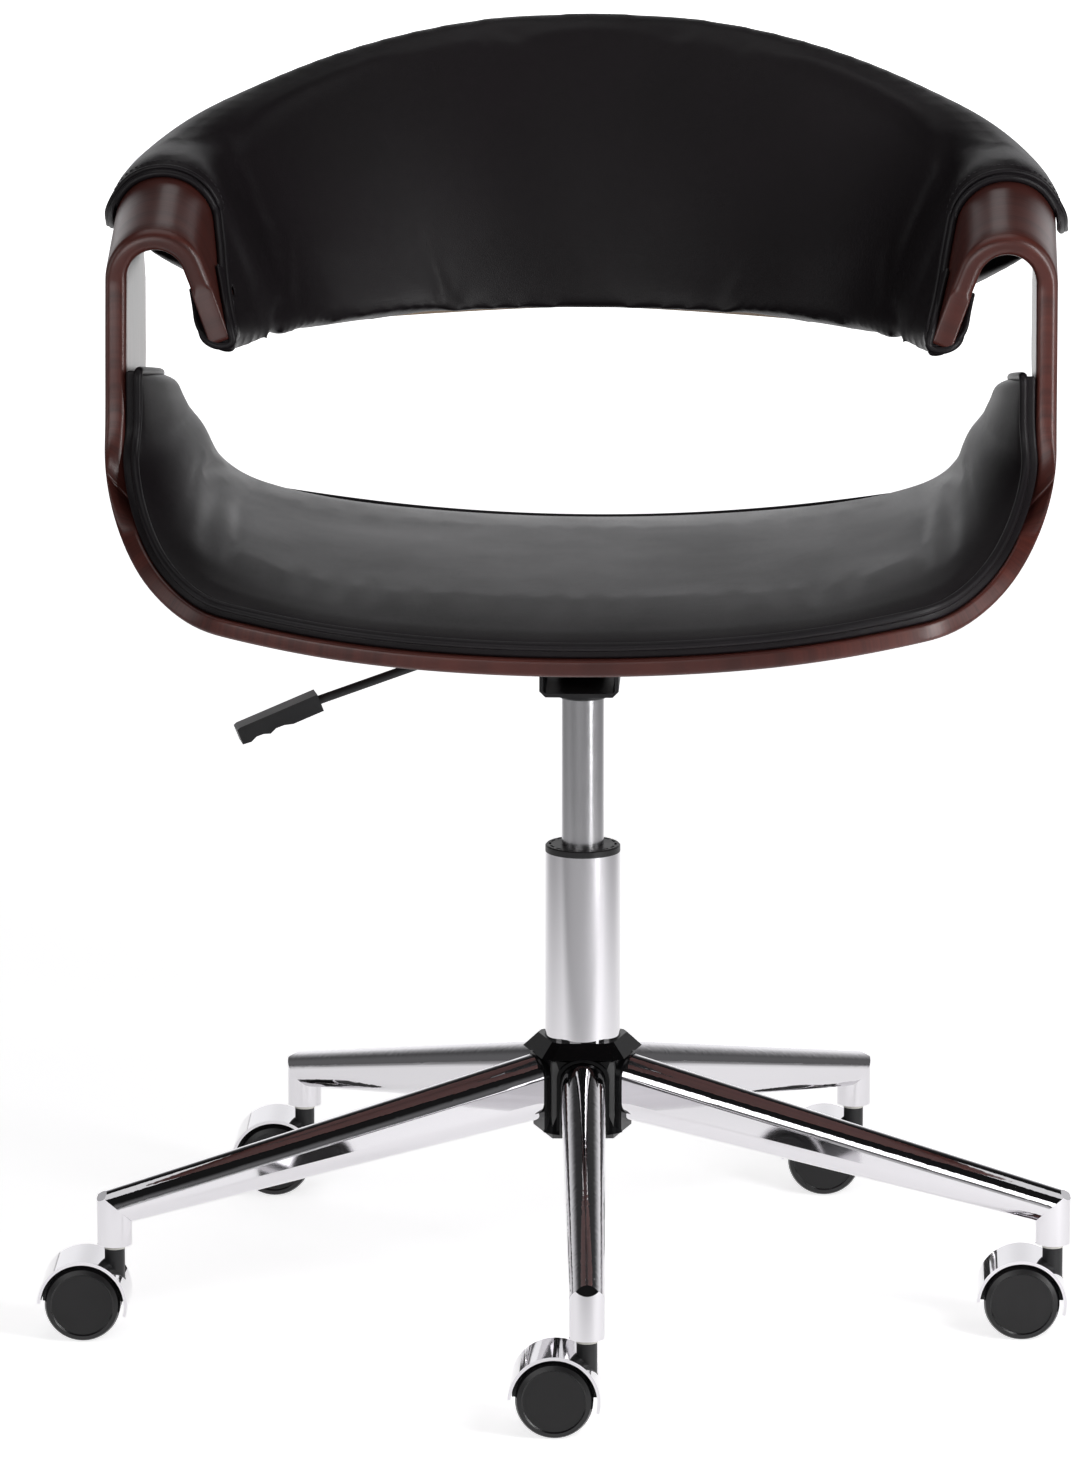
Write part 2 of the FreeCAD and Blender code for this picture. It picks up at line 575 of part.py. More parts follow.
def build_channel():
    """The pressed channel with two flanges, a hole for the holder and ears for the lever."""
    wide, sheet_wall = size("channel_width") / 2, size("channel_sheet")
    low, high = size("channel_floor"), size("shell_bottom") - size("running_gap")
    length, flange, bend = size("channel_length"), size("channel_flange"), size("channel_bend")
    right = [(wide - bend, low), (wide, low + bend), (wide, high - sheet_wall),
             (wide + flange, high - sheet_wall), (wide + flange, high),
             (wide - sheet_wall, high), (wide - sheet_wall, low + bend),
             (wide - bend, low + sheet_wall)]
    left = [(-across, up) for across, up in right[::-1]]
    outline = [Vector(across, -length / 2, up) for across, up in right + left]
    channel = prism(outline, Vector(0, length, 0))
    ear_reach = size("lever_pivot") + size("lever_eye") / 2
    ear_gap = size("lever_diameter") / 2 + size("seat_gap")
    level = size("lever_level")
    for side in (1, -1):
        start = -ear_reach
        near = ear_gap if side > 0 else -ear_gap - sheet_wall
        ear = Part.makeBox(ear_reach - wide, sheet_wall, high - sheet_wall - level + 6,
                           Vector(start, near, level - 6))
        channel = channel.fuse(ear)
    channel = channel.cut(Part.makeCylinder(size("pivot_pin") / 2 + size("running_gap"),
                                            4 * ear_gap + 4 * sheet_wall,
                                            Vector(-size("lever_pivot"),
                                                   -2 * ear_gap - 2 * sheet_wall, level),
                                            Vector(0, 1, 0)))
    window = size("lever_diameter") / 2
    channel = channel.cut(Part.makeBox(sheet_wall + 2, 2 * ear_gap, high - level + window + 2,
                                       Vector(-wide - 1, -ear_gap, level - window - 2)))
    channel = channel.cut(Part.makeCylinder(size("holder_diameter") / 2 + size("running_gap"),
                                            high - low, Vector(0, 0, low - 1)))
    for across, along in bolt_spots():
        channel = channel.cut(Part.makeCylinder(size("bolt_diameter") / 2 + size("seat_gap") / 2,
                                                2 * sheet_wall,
                                                Vector(across, along, high - 1.5 * sheet_wall)))
    shaped("seat_channel", solid_of(channel))


def build_bolts():
    flange_low = size("shell_bottom") - size("running_gap") - size("channel_sheet")
    bolts = []
    for across, along in bolt_spots():
        head = Part.makeCylinder(size("bolt_head") / 2, size("bolt_head_height"),
                                 Vector(across, along, flange_low - size("bolt_head_height")))
        shank = Part.makeCylinder(size("bolt_diameter") / 2,
                                  size("channel_sheet") + size("bolt_reach"),
                                  Vector(across, along, flange_low))
        bolts.append(head.fuse(shank).removeSplitter())
    shaped("channel_bolts", Part.Compound(bolts))


def lever_points():
    """The rod's path: over the pin, through the pivot, two bends, then the grip's inner end."""
    level, sweep = size("lever_level"), math.tan(math.radians(size("lever_sweep")))

    def spot(reach, fall):
        return Vector(-reach, -(reach - size("lever_bend")) * sweep, level - fall)
    return [Vector(size("pin_diameter") / 2 + 1, 0, level),
            Vector(-size("lever_bend"), 0, level),
            spot(size("lever_drop_reach"), size("lever_drop")),
            spot(size("lever_reach"), size("lever_fall"))]


def grip_direction():
    """The direction in which the grip points."""
    slope, sweep = math.radians(size("grip_slope")), math.radians(size("lever_sweep"))
    return Vector(-math.cos(slope) * math.cos(sweep), -math.cos(slope) * math.sin(sweep),
                  -math.sin(slope))


def build_lever():
    """The lever's rod: over the release pin, through its pivot eye, then down to the grip."""
    radius = size("lever_diameter") / 2
    level = size("lever_level")
    points = lever_points()
    points.append(points[-1] + grip_direction() * size("grip_overlap"))
    pieces = []
    for start, end in zip(points[:-1], points[1:]):
        pieces.append(Part.makeCylinder(radius, (end - start).Length, start, end - start))
    for elbow in points[1:-1]:
        pieces.append(Part.makeSphere(radius, elbow))
    pieces.append(Part.makeCylinder(size("lever_eye") / 2, 2 * radius,
                                    Vector(-size("lever_pivot"), -radius, level),
                                    Vector(0, 1, 0)))
    rod = pieces[0].fuse(pieces[1:])
    rod = rod.cut(Part.makeCylinder(size("pivot_pin") / 2, 4 * radius,
                                    Vector(-size("lever_pivot"), -2 * radius, level),
                                    Vector(0, 1, 0)))
    shaped("lever_rod", solid_of(rod))
    ear_gap = radius + size("seat_gap")
    length = 2 * (ear_gap + size("channel_sheet"))
    shaped("lever_pin", Part.makeCylinder(size("pivot_pin") / 2, length,
                                          Vector(-size("lever_pivot"), -length / 2, level),
                                          Vector(0, 1, 0)))


def build_grip():
    """The moulded grip: a flat paddle with two finger hollows underneath."""
    body = doc.addObject("PartDesign::Body", "lever_grip_body")
    sketch = polygon_sketch(body, "lever_grip_outline", "XZ_Plane", [
        ("0", "-Sizes.grip_height / 2"),
        ("Sizes.grip_length * 0.38", "-Sizes.grip_height / 2"),
        ("Sizes.grip_length * 0.48", "-Sizes.grip_height * 0.36"),
        ("Sizes.grip_length * 0.58", "-Sizes.grip_height * 0.34"),
        ("Sizes.grip_length * 0.66", "-Sizes.grip_height / 2"),
        ("Sizes.grip_length * 0.74", "-Sizes.grip_height * 0.36"),
        ("Sizes.grip_length * 0.82", "-Sizes.grip_height * 0.34"),
        ("Sizes.grip_length * 0.9", "-Sizes.grip_height / 2"),
        ("Sizes.grip_length", "-Sizes.grip_height * 0.45"),
        ("Sizes.grip_length", "Sizes.grip_height * 0.42"),
        ("Sizes.grip_length * 0.96", "Sizes.grip_height / 2"),
        ("0", "Sizes.grip_height / 2"),
    ])
    pad = body.newObject("PartDesign::Pad", "lever_grip_pad")
    pad.Profile = sketch
    pad.setExpression("Length", "Sizes.grip_width")
    pad.Midplane = True
    hole = body.newObject("Sketcher::SketchObject", "lever_grip_hole")
    hole.AttachmentSupport = [(origin_plane(body, "YZ_Plane"), "")]
    hole.MapMode = "FlatFace"
    hole.addGeometry(Part.Circle(Vector(0, 0, 0), Vector(0, 0, 1), size("lever_diameter") / 2), False)
    hole.addConstraint(Sketcher.Constraint("Coincident", 0, 3, -1, 1))
    ring = hole.addConstraint(Sketcher.Constraint("Radius", 0, size("lever_diameter") / 2))
    hole.setExpression("Constraints[%d]" % ring, "Sizes.lever_diameter / 2 + Sizes.running_gap")
    pocket = body.newObject("PartDesign::Pocket", "lever_grip_pocket")
    pocket.Profile = hole
    pocket.Reversed = True
    pocket.setExpression("Length", "Sizes.grip_overlap + Sizes.running_gap")
    body.Tip = pocket
    direction = grip_direction()
    side = Vector(0, 0, 1).cross(direction).normalize()
    turn = Rotation(direction, side, direction.cross(side), "XYZ")
    keep(body, "lever_grip", Placement(lever_points()[-1], turn))


# Seat shell


def shell_corner_centre():
    """Centre of the curve from the seat's bottom up into its right side."""
    across = size("shell_half_width") - size("shell_corner_radius")
    large = size("shell_bottom_radius") - size("shell_corner_radius")
    drop = math.sqrt(large * large - across * across)
    return across, size("shell_bottom") + size("shell_bottom_radius") - drop


def shell_band(inset, thickness, top):
    """A closed U-shaped face: the shell's section, inset from its outer face, cut at a height."""
    across, level = shell_corner_centre()
    crown = size("shell_bottom") + size("shell_bottom_radius")
    tangent = math.atan2(across, crown - level)

    def run(depth):
        half = size("shell_half_width") - depth
        corner = size("shell_corner_radius") - depth
        bottom = size("shell_bottom_radius") - depth
        joint = Vector(bottom * math.sin(tangent), 0, crown - bottom * math.cos(tangent))
        middle = (tangent + math.pi / 2) / 2
        bend = Vector(across + corner * math.sin(middle), 0, level - corner * math.cos(middle))
        side = Vector(half, 0, level)
        tip = Vector(half, 0, top)

        def left(spot):
            return Vector(-spot.x, spot.y, spot.z)
        return [
            Part.LineSegment(left(tip), left(side)).toShape(),
            Part.Arc(left(side), left(bend), left(joint)).toShape(),
            Part.Arc(left(joint), Vector(0, 0, crown - bottom), joint).toShape(),
            Part.Arc(joint, bend, side).toShape(),
            Part.LineSegment(side, tip).toShape(),
        ]

    outer, inner = run(inset), run(inset + thickness)
    ends = []
    for start, end in ((outer[0].firstVertex().Point, inner[0].firstVertex().Point),
                       (outer[-1].lastVertex().Point, inner[-1].lastVertex().Point)):
        ends.append(Part.LineSegment(start, end).toShape())
    return Part.Face(Part.Wire(Part.__sortEdges__(outer + inner + ends)))


# The outline of the bent seat: rise of its outer face, then the share of the way from the
# front edge to the arms' front and from the rear edge to the arms' rear.
OUTLINE = [
    (0.000, 0.000, 0.000), (0.025, 0.004, 0.000), (0.094, 0.040, 0.000), (0.172, 0.120, 0.016),
    (0.251, 0.216, 0.098), (0.340, 0.325, 0.215), (0.478, 0.475, 0.372), (0.635, 0.648, 0.510),
    (0.882, 0.862, 0.745), (1.108, 0.985, 0.930), (1.246, 1.024, 0.985),
]


def outline_stations():
    """For each row of the outline: normal angle, outer point, front depth and rear depth."""
    across, level = shell_corner_centre()
    crown = size("shell_bottom") + size("shell_bottom_radius")
    tangent = math.atan2(across, crown - level)
    radius, corner = size("shell_bottom_radius"), size("shell_corner_radius")
    stations = []
    for rise, front_share, rear_share in OUTLINE:
        high = size("shell_bottom") + rise * (size("arm_joint") - size("shell_bottom"))
        if high <= crown - radius * math.cos(tangent):
            angle = math.acos((crown - high) / radius)
            spot = Vector(radius * math.sin(angle), 0, high)
        elif high < level:
            angle = math.acos((level - high) / corner)
            spot = Vector(across + corner * math.sin(angle), 0, high)
        else:
            angle = math.pi / 2
            spot = Vector(across + corner, 0, high)
        front = size("seat_front") + front_share * (size("arm_front_foot") - size("seat_front"))
        rear = size("seat_rear") + rear_share * (size("arm_rear") - size("seat_rear"))
        stations.append((angle, spot, front, rear))
    return stations


def trimming_block():
    """The block whose front and rear faces cut the bent sheet square to its surface."""
    wires = []
    for angle, spot, front, rear in outline_stations():
        out = Vector(math.sin(angle), 0, -math.cos(angle))
        low, high = spot + out * 3, spot - out * (size("shell_thickness") + 3)
        corners = [Vector(low.x, front, low.z), Vector(high.x, front, high.z),
                   Vector(high.x, rear, high.z), Vector(low.x, rear, low.z)]
        wires.append(Part.makePolygon(corners + [corners[0]]))
    left = [mirrored(wire) for wire in wires[1:]][::-1]
    return Part.makeLoft(left + wires, True, False)


def arm_scarf(side, offset):
    """The block above one scarf, used to part arm and shell along the same slanted plane."""
    half = size("shell_half_width")
    deep = size("arm_thickness") + 30
    joint, rise = size("arm_joint") + offset, size("scarf_rise")
    slope = rise / size("arm_thickness")
    reach, top = 2 * size("seat_rear"), size("ridge_level") + half
    points = [Vector(side * (half + 5), -reach, joint + 5 * slope),
              Vector(side * (half - deep), -reach, joint - deep * slope),
              Vector(side * (half - deep), -reach, top),
              Vector(side * (half + 5), -reach, top)]
    return prism(points, Vector(0, 2 * reach, 0))


def build_shell():
    """The moulded plywood seat: one bend across, trimmed to its outline, with the bolt holes."""
    band = shell_band(0, size("shell_thickness"), size("arm_joint") + size("arch_radius"))
    length = size("seat_rear") - size("seat_front") + 10
    band.translate(Vector(0, size("seat_front") - 5, 0))
    shell = band.extrude(Vector(0, length, 0))
    shell = shell.common(trimming_block())
    for side in (1, -1):
        shell = shell.cut(arm_scarf(side, 0))
    for across, along in bolt_spots():
        shell = shell.cut(Part.makeCylinder(size("bolt_diameter") / 2 + size("running_gap"),
                                            size("bolt_reach") + 1,
                                            Vector(across, along, size("shell_bottom") - 0.5)))
    for hole in dowels(size("running_gap")):
        shell = shell.cut(hole)
    shaped("seat_shell", solid_of(shell))


# Arms


def arch_face(grow):
    """The arm's section at its front edge: long outer leg, arch, short tilted inner leg."""
    radius, thick = size("arch_radius"), size("arm_thickness")
    half = size("shell_half_width")
    centre = Vector(half - radius, 0, size("arch_level"))
    tilt = math.radians(size("arm_tilt"))
    foot = size("arm_joint") - 2 * size("scarf_rise")

    def run(curve, lower):
        along = Vector(-math.cos(tilt), 0, math.sin(tilt))
        touch = centre + along * curve
        travel = (touch.z - size("inner_leg_end") + lower) / math.cos(tilt)
        leg = Vector(-math.sin(tilt), 0, -math.cos(tilt)) * travel
        top = centre + Vector(0, 0, 1) * curve
        quarter = centre + Vector(math.cos(math.pi / 4), 0, math.sin(math.pi / 4)) * curve
        lean = (math.pi / 2 + math.pi - tilt) / 2
        back = centre + Vector(math.cos(lean), 0, math.sin(lean)) * curve
        side = centre + Vector(1, 0, 0) * curve
        base = Vector(side.x, 0, foot)
        return [Part.LineSegment(base, side).toShape(), Part.Arc(side, quarter, top).toShape(),
                Part.Arc(top, back, touch).toShape(),
                Part.LineSegment(touch, touch + leg).toShape()]

    outer, inner = run(radius + grow, grow), run(radius - thick - grow, grow)
    ends = [Part.LineSegment(outer[0].firstVertex().Point, inner[0].firstVertex().Point).toShape(),
            Part.LineSegment(outer[-1].lastVertex().Point, inner[-1].lastVertex().Point).toShape()]
    return Part.Face(Part.Wire(Part.__sortEdges__(outer + inner + ends)))


def arm_outline(grow):
    """The arm's outline in side view: its front leans back, its rear narrows under the sleeve."""
    high = size("ridge_level") + size("arch_radius")
    joint, arch = size("arm_joint"), size("arch_level")
    foot, front = size("arm_front_foot"), size("arm_front")
    rear, rear_top = size("arm_rear") + grow, size("arm_rear_top") + grow
    stations = outline_stations()[-4:]
    points = [Vector(0, depth, spot.z) for _, spot, depth, back in stations]
    points.append(Vector(0, foot + 0.55 * (front - foot), (joint + arch) / 2))
    points.append(Vector(0, front, arch))
    curve = Part.BSplineCurve()
    curve.interpolate(points)
    behind = [Vector(0, back + grow, spot.z) for _, spot, depth, back in stations]
    behind.append(Vector(0, rear, size("inner_leg_end") + size("arm_thickness")))
    fall = Part.BSplineCurve()
    fall.interpolate(behind)
    over = [Vector(0, front, arch), Vector(0, front, high), Vector(0, rear_top, high),
            Vector(0, rear_top, size("inner_leg_end") + 2 * (rear - rear_top)), behind[-1]]
    under = Part.LineSegment(behind[0], points[0]).toShape()
    edges = [curve.toShape()] + Part.makePolygon(over).Edges + [fall.toShape(), under]
    face = Part.Face(Part.Wire(Part.__sortEdges__(edges)))
    half = size("shell_half_width") + 2
    face.translate(Vector(-half, 0, 0))
    return face.extrude(Vector(2 * half, 0, 0))


def arm_blank(grow):
    """The right arm before its scarf is cut, grown by a clearance."""
    front = size("arm_front_foot") - 5
    face = arch_face(grow)
    slope = math.tan(math.radians(size("arch_slope")))
    face.translate(Vector(0, front, (front - size("arm_front")) * slope))
    length = size("arm_rear") + grow + 5 - front
    blank = face.extrude(Vector(0, length, length * slope))
    return blank.common(arm_outline(grow))


def mirrored(shape):
    """The left-hand twin of a right-hand shape."""
    return shape.mirror(Vector(0, 0, 0), Vector(1, 0, 0))


def dowels(gap):
    """Two dowels along each arm's scarf, grown by a gap."""
    across, level = shell_corner_centre()
    joint = size("arm_joint") - size("scarf_rise") / 2
    lean = math.acos(max(0, level - joint) / size("shell_corner_radius"))
    middle = size("shell_corner_radius") - size("shell_thickness") / 2
    pins = []
    for side in (1, -1):
        for share in (0.3, 0.7):
            along = size("arm_front_foot") + share * (size("arm_rear") - size("arm_front_foot"))
            run = Vector(side * math.cos(lean), 0, math.sin(lean))
            centre = Vector(side * (across + middle * math.sin(lean)), along,
                            level - middle * math.cos(lean))
            length = size("dowel_length") + 2 * gap
            pins.append(Part.makeCylinder(size("dowel_diameter") / 2 + gap, length,
                                          centre - run * (length / 2), run))
    return pins


def build_arms():
    right = arm_blank(0).common(arm_scarf(1, size("running_gap")))
    left = mirrored(right)
    for hole in dowels(size("running_gap")):
        right = right.cut(hole)
        left = left.cut(hole)
    for hole in back_bolts(size("running_gap")):
        right = right.cut(hole)
        left = left.cut(mirrored(hole))
    shaped("arm_right", solid_of(right))
    shaped("arm_left", solid_of(left))
    shaped("arm_dowels", Part.Compound(dowels(0)))


# Back


# The back's upright sections, from the arms' rim (0 degrees) to the centre (90 degrees).
# After the angle come shares, 1 at the rim and 0 at the centre: reach and height of the top
# line, half thickness, reach and height of the front lower line and of the rear lower line.
BACK = [
    (0, 1.000, 1.000, 1.000, 1.000, 1.000, 1.000, 1.000),
    (7, 0.983, 0.881, 1.000, 0.870, 0.835, 1.005, 0.890),
    (15, 1.035, 0.828, 0.720, 0.732, 0.637, 0.920, 0.585),
    (24, 1.000, 0.695, 0.525, 0.607, 0.550, 0.560, 0.160),
    (34, 0.861, 0.536, 0.320, 0.428, 0.352, 0.270, 0.044),
    (46, 0.652, 0.338, 0.150, 0.252, 0.209, 0.128, 0.022),
    (60, 0.400, 0.152, 0.043, 0.106, 0.100, 0.054, 0.006),
    (75, 0.157, 0.033, 0.000, 0.021, 0.040, 0.010, 0.000),
    (90, 0.000, 0.000, 0.000, 0.000, 0.000, 0.000, 0.000),
]

# The padding in front of the rim, which cups the end of each arm's inner leg. After the
# distance in front of the rim come the section's corners, (inside the arm's face, height).
FORE = [
    (0, (103.0, 648.5), (70.0, 727.5), (58.5, 731.0), (55.5, 700.0), (58.5, 664.0), (80.5, 647.5)),
    (23, (97.0, 651.0), (72.5, 713.0), (62.5, 718.0), (57.5, 690.0), (58.5, 661.0), (76.5, 649.5)),
    (58, (90.5, 653.5), (76.0, 695.0), (66.5, 699.0), (59.5, 682.0), (59.5, 659.0), (74.5, 651.5)),
    (90, (87.0, 656.0), (81.0, 671.0), (72.5, 676.0), (63.5, 673.0), (63.0, 657.0), (74.5, 652.0)),
]


def between(centre, rim, share):
    """A size of the back between its value at the centre and its value at the rim."""
    return size(centre) + share * (size(rim) - size(centre))


def towards_arm(centre, inset, share):
    """A reach of the back, set at the rim by its distance inside the arms' outer face."""
    return size(centre) + share * (size("shell_half_width") - size(inset) - size(centre))


def back_spot(reach, level, angle, side):
    """A point of an upright section of the back."""
    turn = math.radians(angle)
    return Vector(side * reach * math.cos(turn), size("rim_depth") + reach * math.sin(turn), level)


def back_section(row, side):
    """One upright section of the padded back."""
    angle = row[0]
    ridge = towards_arm("ridge_depth", "ridge_inset", row[1])
    ridge_level = between("ridge_level", "ridge_arm_level", row[2])
    half = between("back_half", "sleeve_half", row[3])
    foot = towards_arm("foot_depth", "foot_inset", row[4])
    foot_level = between("foot_level", "foot_arm_level", row[5])
    tail = towards_arm("tail_depth", "flap_inset", row[6])
    tail_level = between("tail_level", "flap_level", row[7])
    shoulder = ridge_level - 0.8 * half
    swell = size("back_crown")
    low = back_spot(foot, foot_level, angle, side)
    middle = back_spot((foot + ridge - half) / 2 - swell, (foot_level + shoulder) / 2, angle, side)
    front = back_spot(ridge - half, shoulder, angle, side)
    top = back_spot(ridge, ridge_level, angle, side)
    rear = back_spot(ridge + half, shoulder, angle, side)
    end = back_spot(tail, tail_level, angle, side)
    return Part.Wire([
        Part.Arc(low, middle, front).toShape(), Part.Arc(front, top, rear).toShape(),
        Part.LineSegment(rear, end).toShape(), Part.LineSegment(end, low).toShape(),
    ])


def core_section(row, side, grow):
    """One upright section of the plywood core inside the back."""
    half = between("back_half", "sleeve_half", row[3])
    start = (towards_arm("foot_depth", "foot_inset", row[4]),
             between("foot_level", "foot_arm_level", row[5]))
    end = (towards_arm("ridge_depth", "ridge_inset", row[1]) - half,
           between("ridge_level", "ridge_arm_level", row[2]) - 0.8 * half)
    run = (end[0] - start[0], end[1] - start[1])
    length = math.hypot(run[0], run[1])
    normal = (run[1] / length, -run[0] / length)
    offset = between("core_offset", "core_offset_arm", row[4]) - grow
    deep = offset + size("core_thickness") + 2 * grow
    margin = 8 - grow
    corners = []
    for along, away in ((margin, offset), (length - margin / 2, offset),
                        (length - margin / 2, deep), (margin, deep)):
        share = along / length
        corners.append(back_spot(start[0] + run[0] * share + normal[0] * away,
                                 start[1] + run[1] * share + normal[1] * away, row[0], side))
    return Part.makePolygon(corners + [corners[0]])


def across_back(section, rows):
    """A loft from arm to arm through the upright sections."""
    wires = [section(row, -1) for row in rows]
    wires += [section(row, 1) for row in rows[:-1][::-1]]
    return Part.makeLoft(wires, True, False)


def fore_padding():
    """The right-hand padding in front of the rim."""
    wires = []
    for row in FORE:
        depth = size("rim_depth") - row[0]
        corners = [Vector(size("shell_half_width") - inside, depth, level)
                   for inside, level in row[1:]]
        wires.append(Part.makePolygon(corners + [corners[0]]))
    return Part.makeLoft(wires, True, False)


def tunnel():
    """The open passage under the right-hand arch, between the arm's two legs."""
    thick, radius = size("arm_thickness"), size("arch_radius") - size("arm_thickness")
    outer = size("shell_half_width") - thick
    centre = Vector(outer - radius, 0, size("arch_level"))
    tilt = math.radians(size("arm_tilt"))
    touch = centre + Vector(-math.cos(tilt), 0, math.sin(tilt)) * radius
    side, low = size("shell_half_width") - size("tunnel_inset"), size("arm_joint")
    corners = [Vector(side, 0, low), Vector(side, 0, touch.z - thick), touch, centre,
               Vector(outer, 0, centre.z), Vector(outer, 0, low)]
    start = size("arm_front_foot") - 5
    slope = math.tan(math.radians(size("arch_slope")))
    length = size("tunnel_depth") - start
    run = Vector(0, length, length * slope)
    begin = Vector(0, start, (start - size("arm_front")) * slope)
    lower = prism([corner + begin for corner in corners], run)
    circle = Part.Face(Part.Wire([Part.Circle(centre + begin, Vector(0, 1, 0), radius).toShape()]))
    return lower.fuse(circle.extrude(run))


def back_bolts(gap):
    """The right-hand bolts through the arm's inner leg into the core, grown by a gap."""
    tilt = math.radians(size("arm_tilt"))
    along = Vector(-math.cos(tilt), 0, math.sin(tilt))
    slope = math.tan(math.radians(size("arch_slope")))
    radius = size("arch_radius") - size("arm_thickness")
    bolts = []
    for depth in (size("rim_depth") + 10, size("rim_depth") + 27):
        lift = (depth - size("arm_front")) * slope
        centre = Vector(size("shell_half_width") - size("arch_radius"), depth,
                        size("arch_level") + lift)
        face = centre + along * radius + Vector(-math.sin(tilt), 0, -math.cos(tilt)) * 22
        head = Part.makeCylinder(size("bolt_head") / 2 + gap, size("bolt_head_height") + gap,
                                 face - along * (size("bolt_head_height") + gap), along)
        shank = Part.makeCylinder(size("bolt_diameter") / 2 + gap,
                                  size("back_bolt_length") + gap, face, along)
        bolts.append(head.fuse(shank).removeSplitter())
    return bolts


def build_back():
    gap = size("seat_gap")
    inner = [row for row in BACK if row[0] > 0]
    core = across_back(lambda row, side: core_section(row, side, 0), inner)
    room = across_back(lambda row, side: core_section(row, side, gap), inner)
    cover = across_back(back_section, BACK)
    arm, passage, fore = arm_blank(gap), tunnel(), fore_padding()
    holes = back_bolts(size("running_gap"))
    roomy = back_bolts(gap)
    for hand in (lambda shape: shape, mirrored):
        cover = cover.fuse(hand(fore))
        core = core.cut(hand(arm)).cut([hand(hole) for hole in holes])
        cover = cover.cut([hand(arm), hand(passage)] + [hand(hole) for hole in roomy])
    cover = cover.cut(room)
    shaped("back_core", solid_of(core))
    shaped("back_upholstery", solid_of(cover))
    bolts = back_bolts(0)
    shaped("back_bolts", Part.Compound(bolts + [mirrored(bolt) for bolt in bolts]))


# Seat pad


# The pad's profile from front to rear: share of its depth and share of its crown.
PAD_PROFILE = [(0.00, 0.0), (0.05, 0.42), (0.18, 0.80), (0.50, 1.0), (0.82, 0.80), (0.95, 0.40),
               (1.00, 0.00)]


def pad_section(base, angle, front, rear, edge, crown):
    """One section of the pad: flat underneath, thin at its edges and crowned between them."""
    out = Vector(math.sin(angle), 0, -math.cos(angle))

    def spot(along, high):
        point = base - out * high
        return Vector(point.x, along, point.z)
    depth = rear - front
    tops = [spot(front + share * depth, edge + lift * crown) for share, lift in PAD_PROFILE]
    curve = Part.BSplineCurve()
    curve.interpolate(tops)
    low_front, low_rear = spot(front, 0), spot(rear, 0)
    return Part.Wire([
        Part.LineSegment(low_front, tops[0]).toShape(), curve.toShape(),
        Part.LineSegment(tops[-1], low_rear).toShape(),
        Part.LineSegment(low_rear, low_front).toShape(),
    ])


def build_pad():
    """The seat pad, lofted from side to side over the shell's inner face."""
    depth, inset = size("shell_thickness") + size("seat_gap"), size("pad_inset")
    joint, top = size("arm_joint"), size("pad_side_level")
    edge, crown = size("pad_edge"), size("pad_crown")
    front_top, rear_top = size("arm_front_foot"), size("arm_rear")
    wires = []
    for angle, spot, front, rear in outline_stations()[:-1]:
        out = Vector(math.sin(angle), 0, -math.cos(angle))
        wires.append(pad_section(spot - out * depth, angle, front + inset, rear - inset, edge, crown))
    side = size("shell_half_width") - depth
    for share, edge_share, crown_share in ((0.5, 1, 0.9), (0.85, 0.9, 0.6), (1, 0.6, 0.2)):
        base = Vector(side, 0, joint + share * (top - joint))
        wires.append(pad_section(base, math.pi / 2, front_top + inset, rear_top - inset,
                                 edge * edge_share, crown * crown_share))
    left = [mirrored(wire) for wire in wires[1:]][::-1]
    pad = Part.makeLoft(left + wires, True, False)
    reach = 2 * size("shell_half_width")
    fall = size("pad_side_drop") / (rear_top - front_top)
    ends = [front_top - reach, rear_top + reach]
    above = [Vector(-reach, along, top - (along - front_top) * fall) for along in ends]
    lid = prism(above + [Vector(-reach, ends[1], top + reach), Vector(-reach, ends[0], top + reach)],
                Vector(2 * reach, 0, 0))
    pad = pad.cut(lid)
    room = shell_band(-1, size("arm_thickness") + size("seat_gap") + 1, top + reach)
    room.translate(Vector(0, size("seat_front") - 5, 0))
    room = room.extrude(Vector(0, size("seat_rear") - size("seat_front") + 10, 0))
    keep_low = Part.makeBox(2 * reach, 2 * reach, joint - size("scarf_rise"),
                            Vector(-reach, -reach, 0))
    pad = pad.cut(room.cut(keep_low))
    shaped("seat_pad", solid_of(pad))


# Castors


def castor_frame(index):
    """The frame of one castor: its stem axis, with +X pointing from stem to axle."""
    angle = math.radians(leg_angle(index))
    star = size("star_radius")
    return Placement(Vector(star * math.cos(angle), star * math.sin(angle), 0),
                     Rotation(Vector(0, 0, 1), size("castor_turn")))


def build_sleeves():
    """The five bushes in the legs, as one group."""
    low, nose = size("socket_bottom"), size("sleeve_nose")
    bore = size("stem_diameter") / 2 + size("running_gap")
    sleeves = []
    for index in range(5):
        place = castor_frame(index).Base
        sleeve = Part.makeCylinder(size("sleeve_diameter") / 2, size("sleeve_top") - low,
                                   place + Vector(0, 0, low))
        sleeve = sleeve.fuse(Part.makeCylinder(size("sleeve_nose_diameter") / 2, nose,
                                               place + Vector(0, 0, low - nose)))
        sleeve = sleeve.cut(Part.makeCylinder(bore, size("sleeve_top"), place))
        sleeves.append(sleeve.removeSplitter())
    shaped("stem_sleeves", Part.Compound(sleeves))


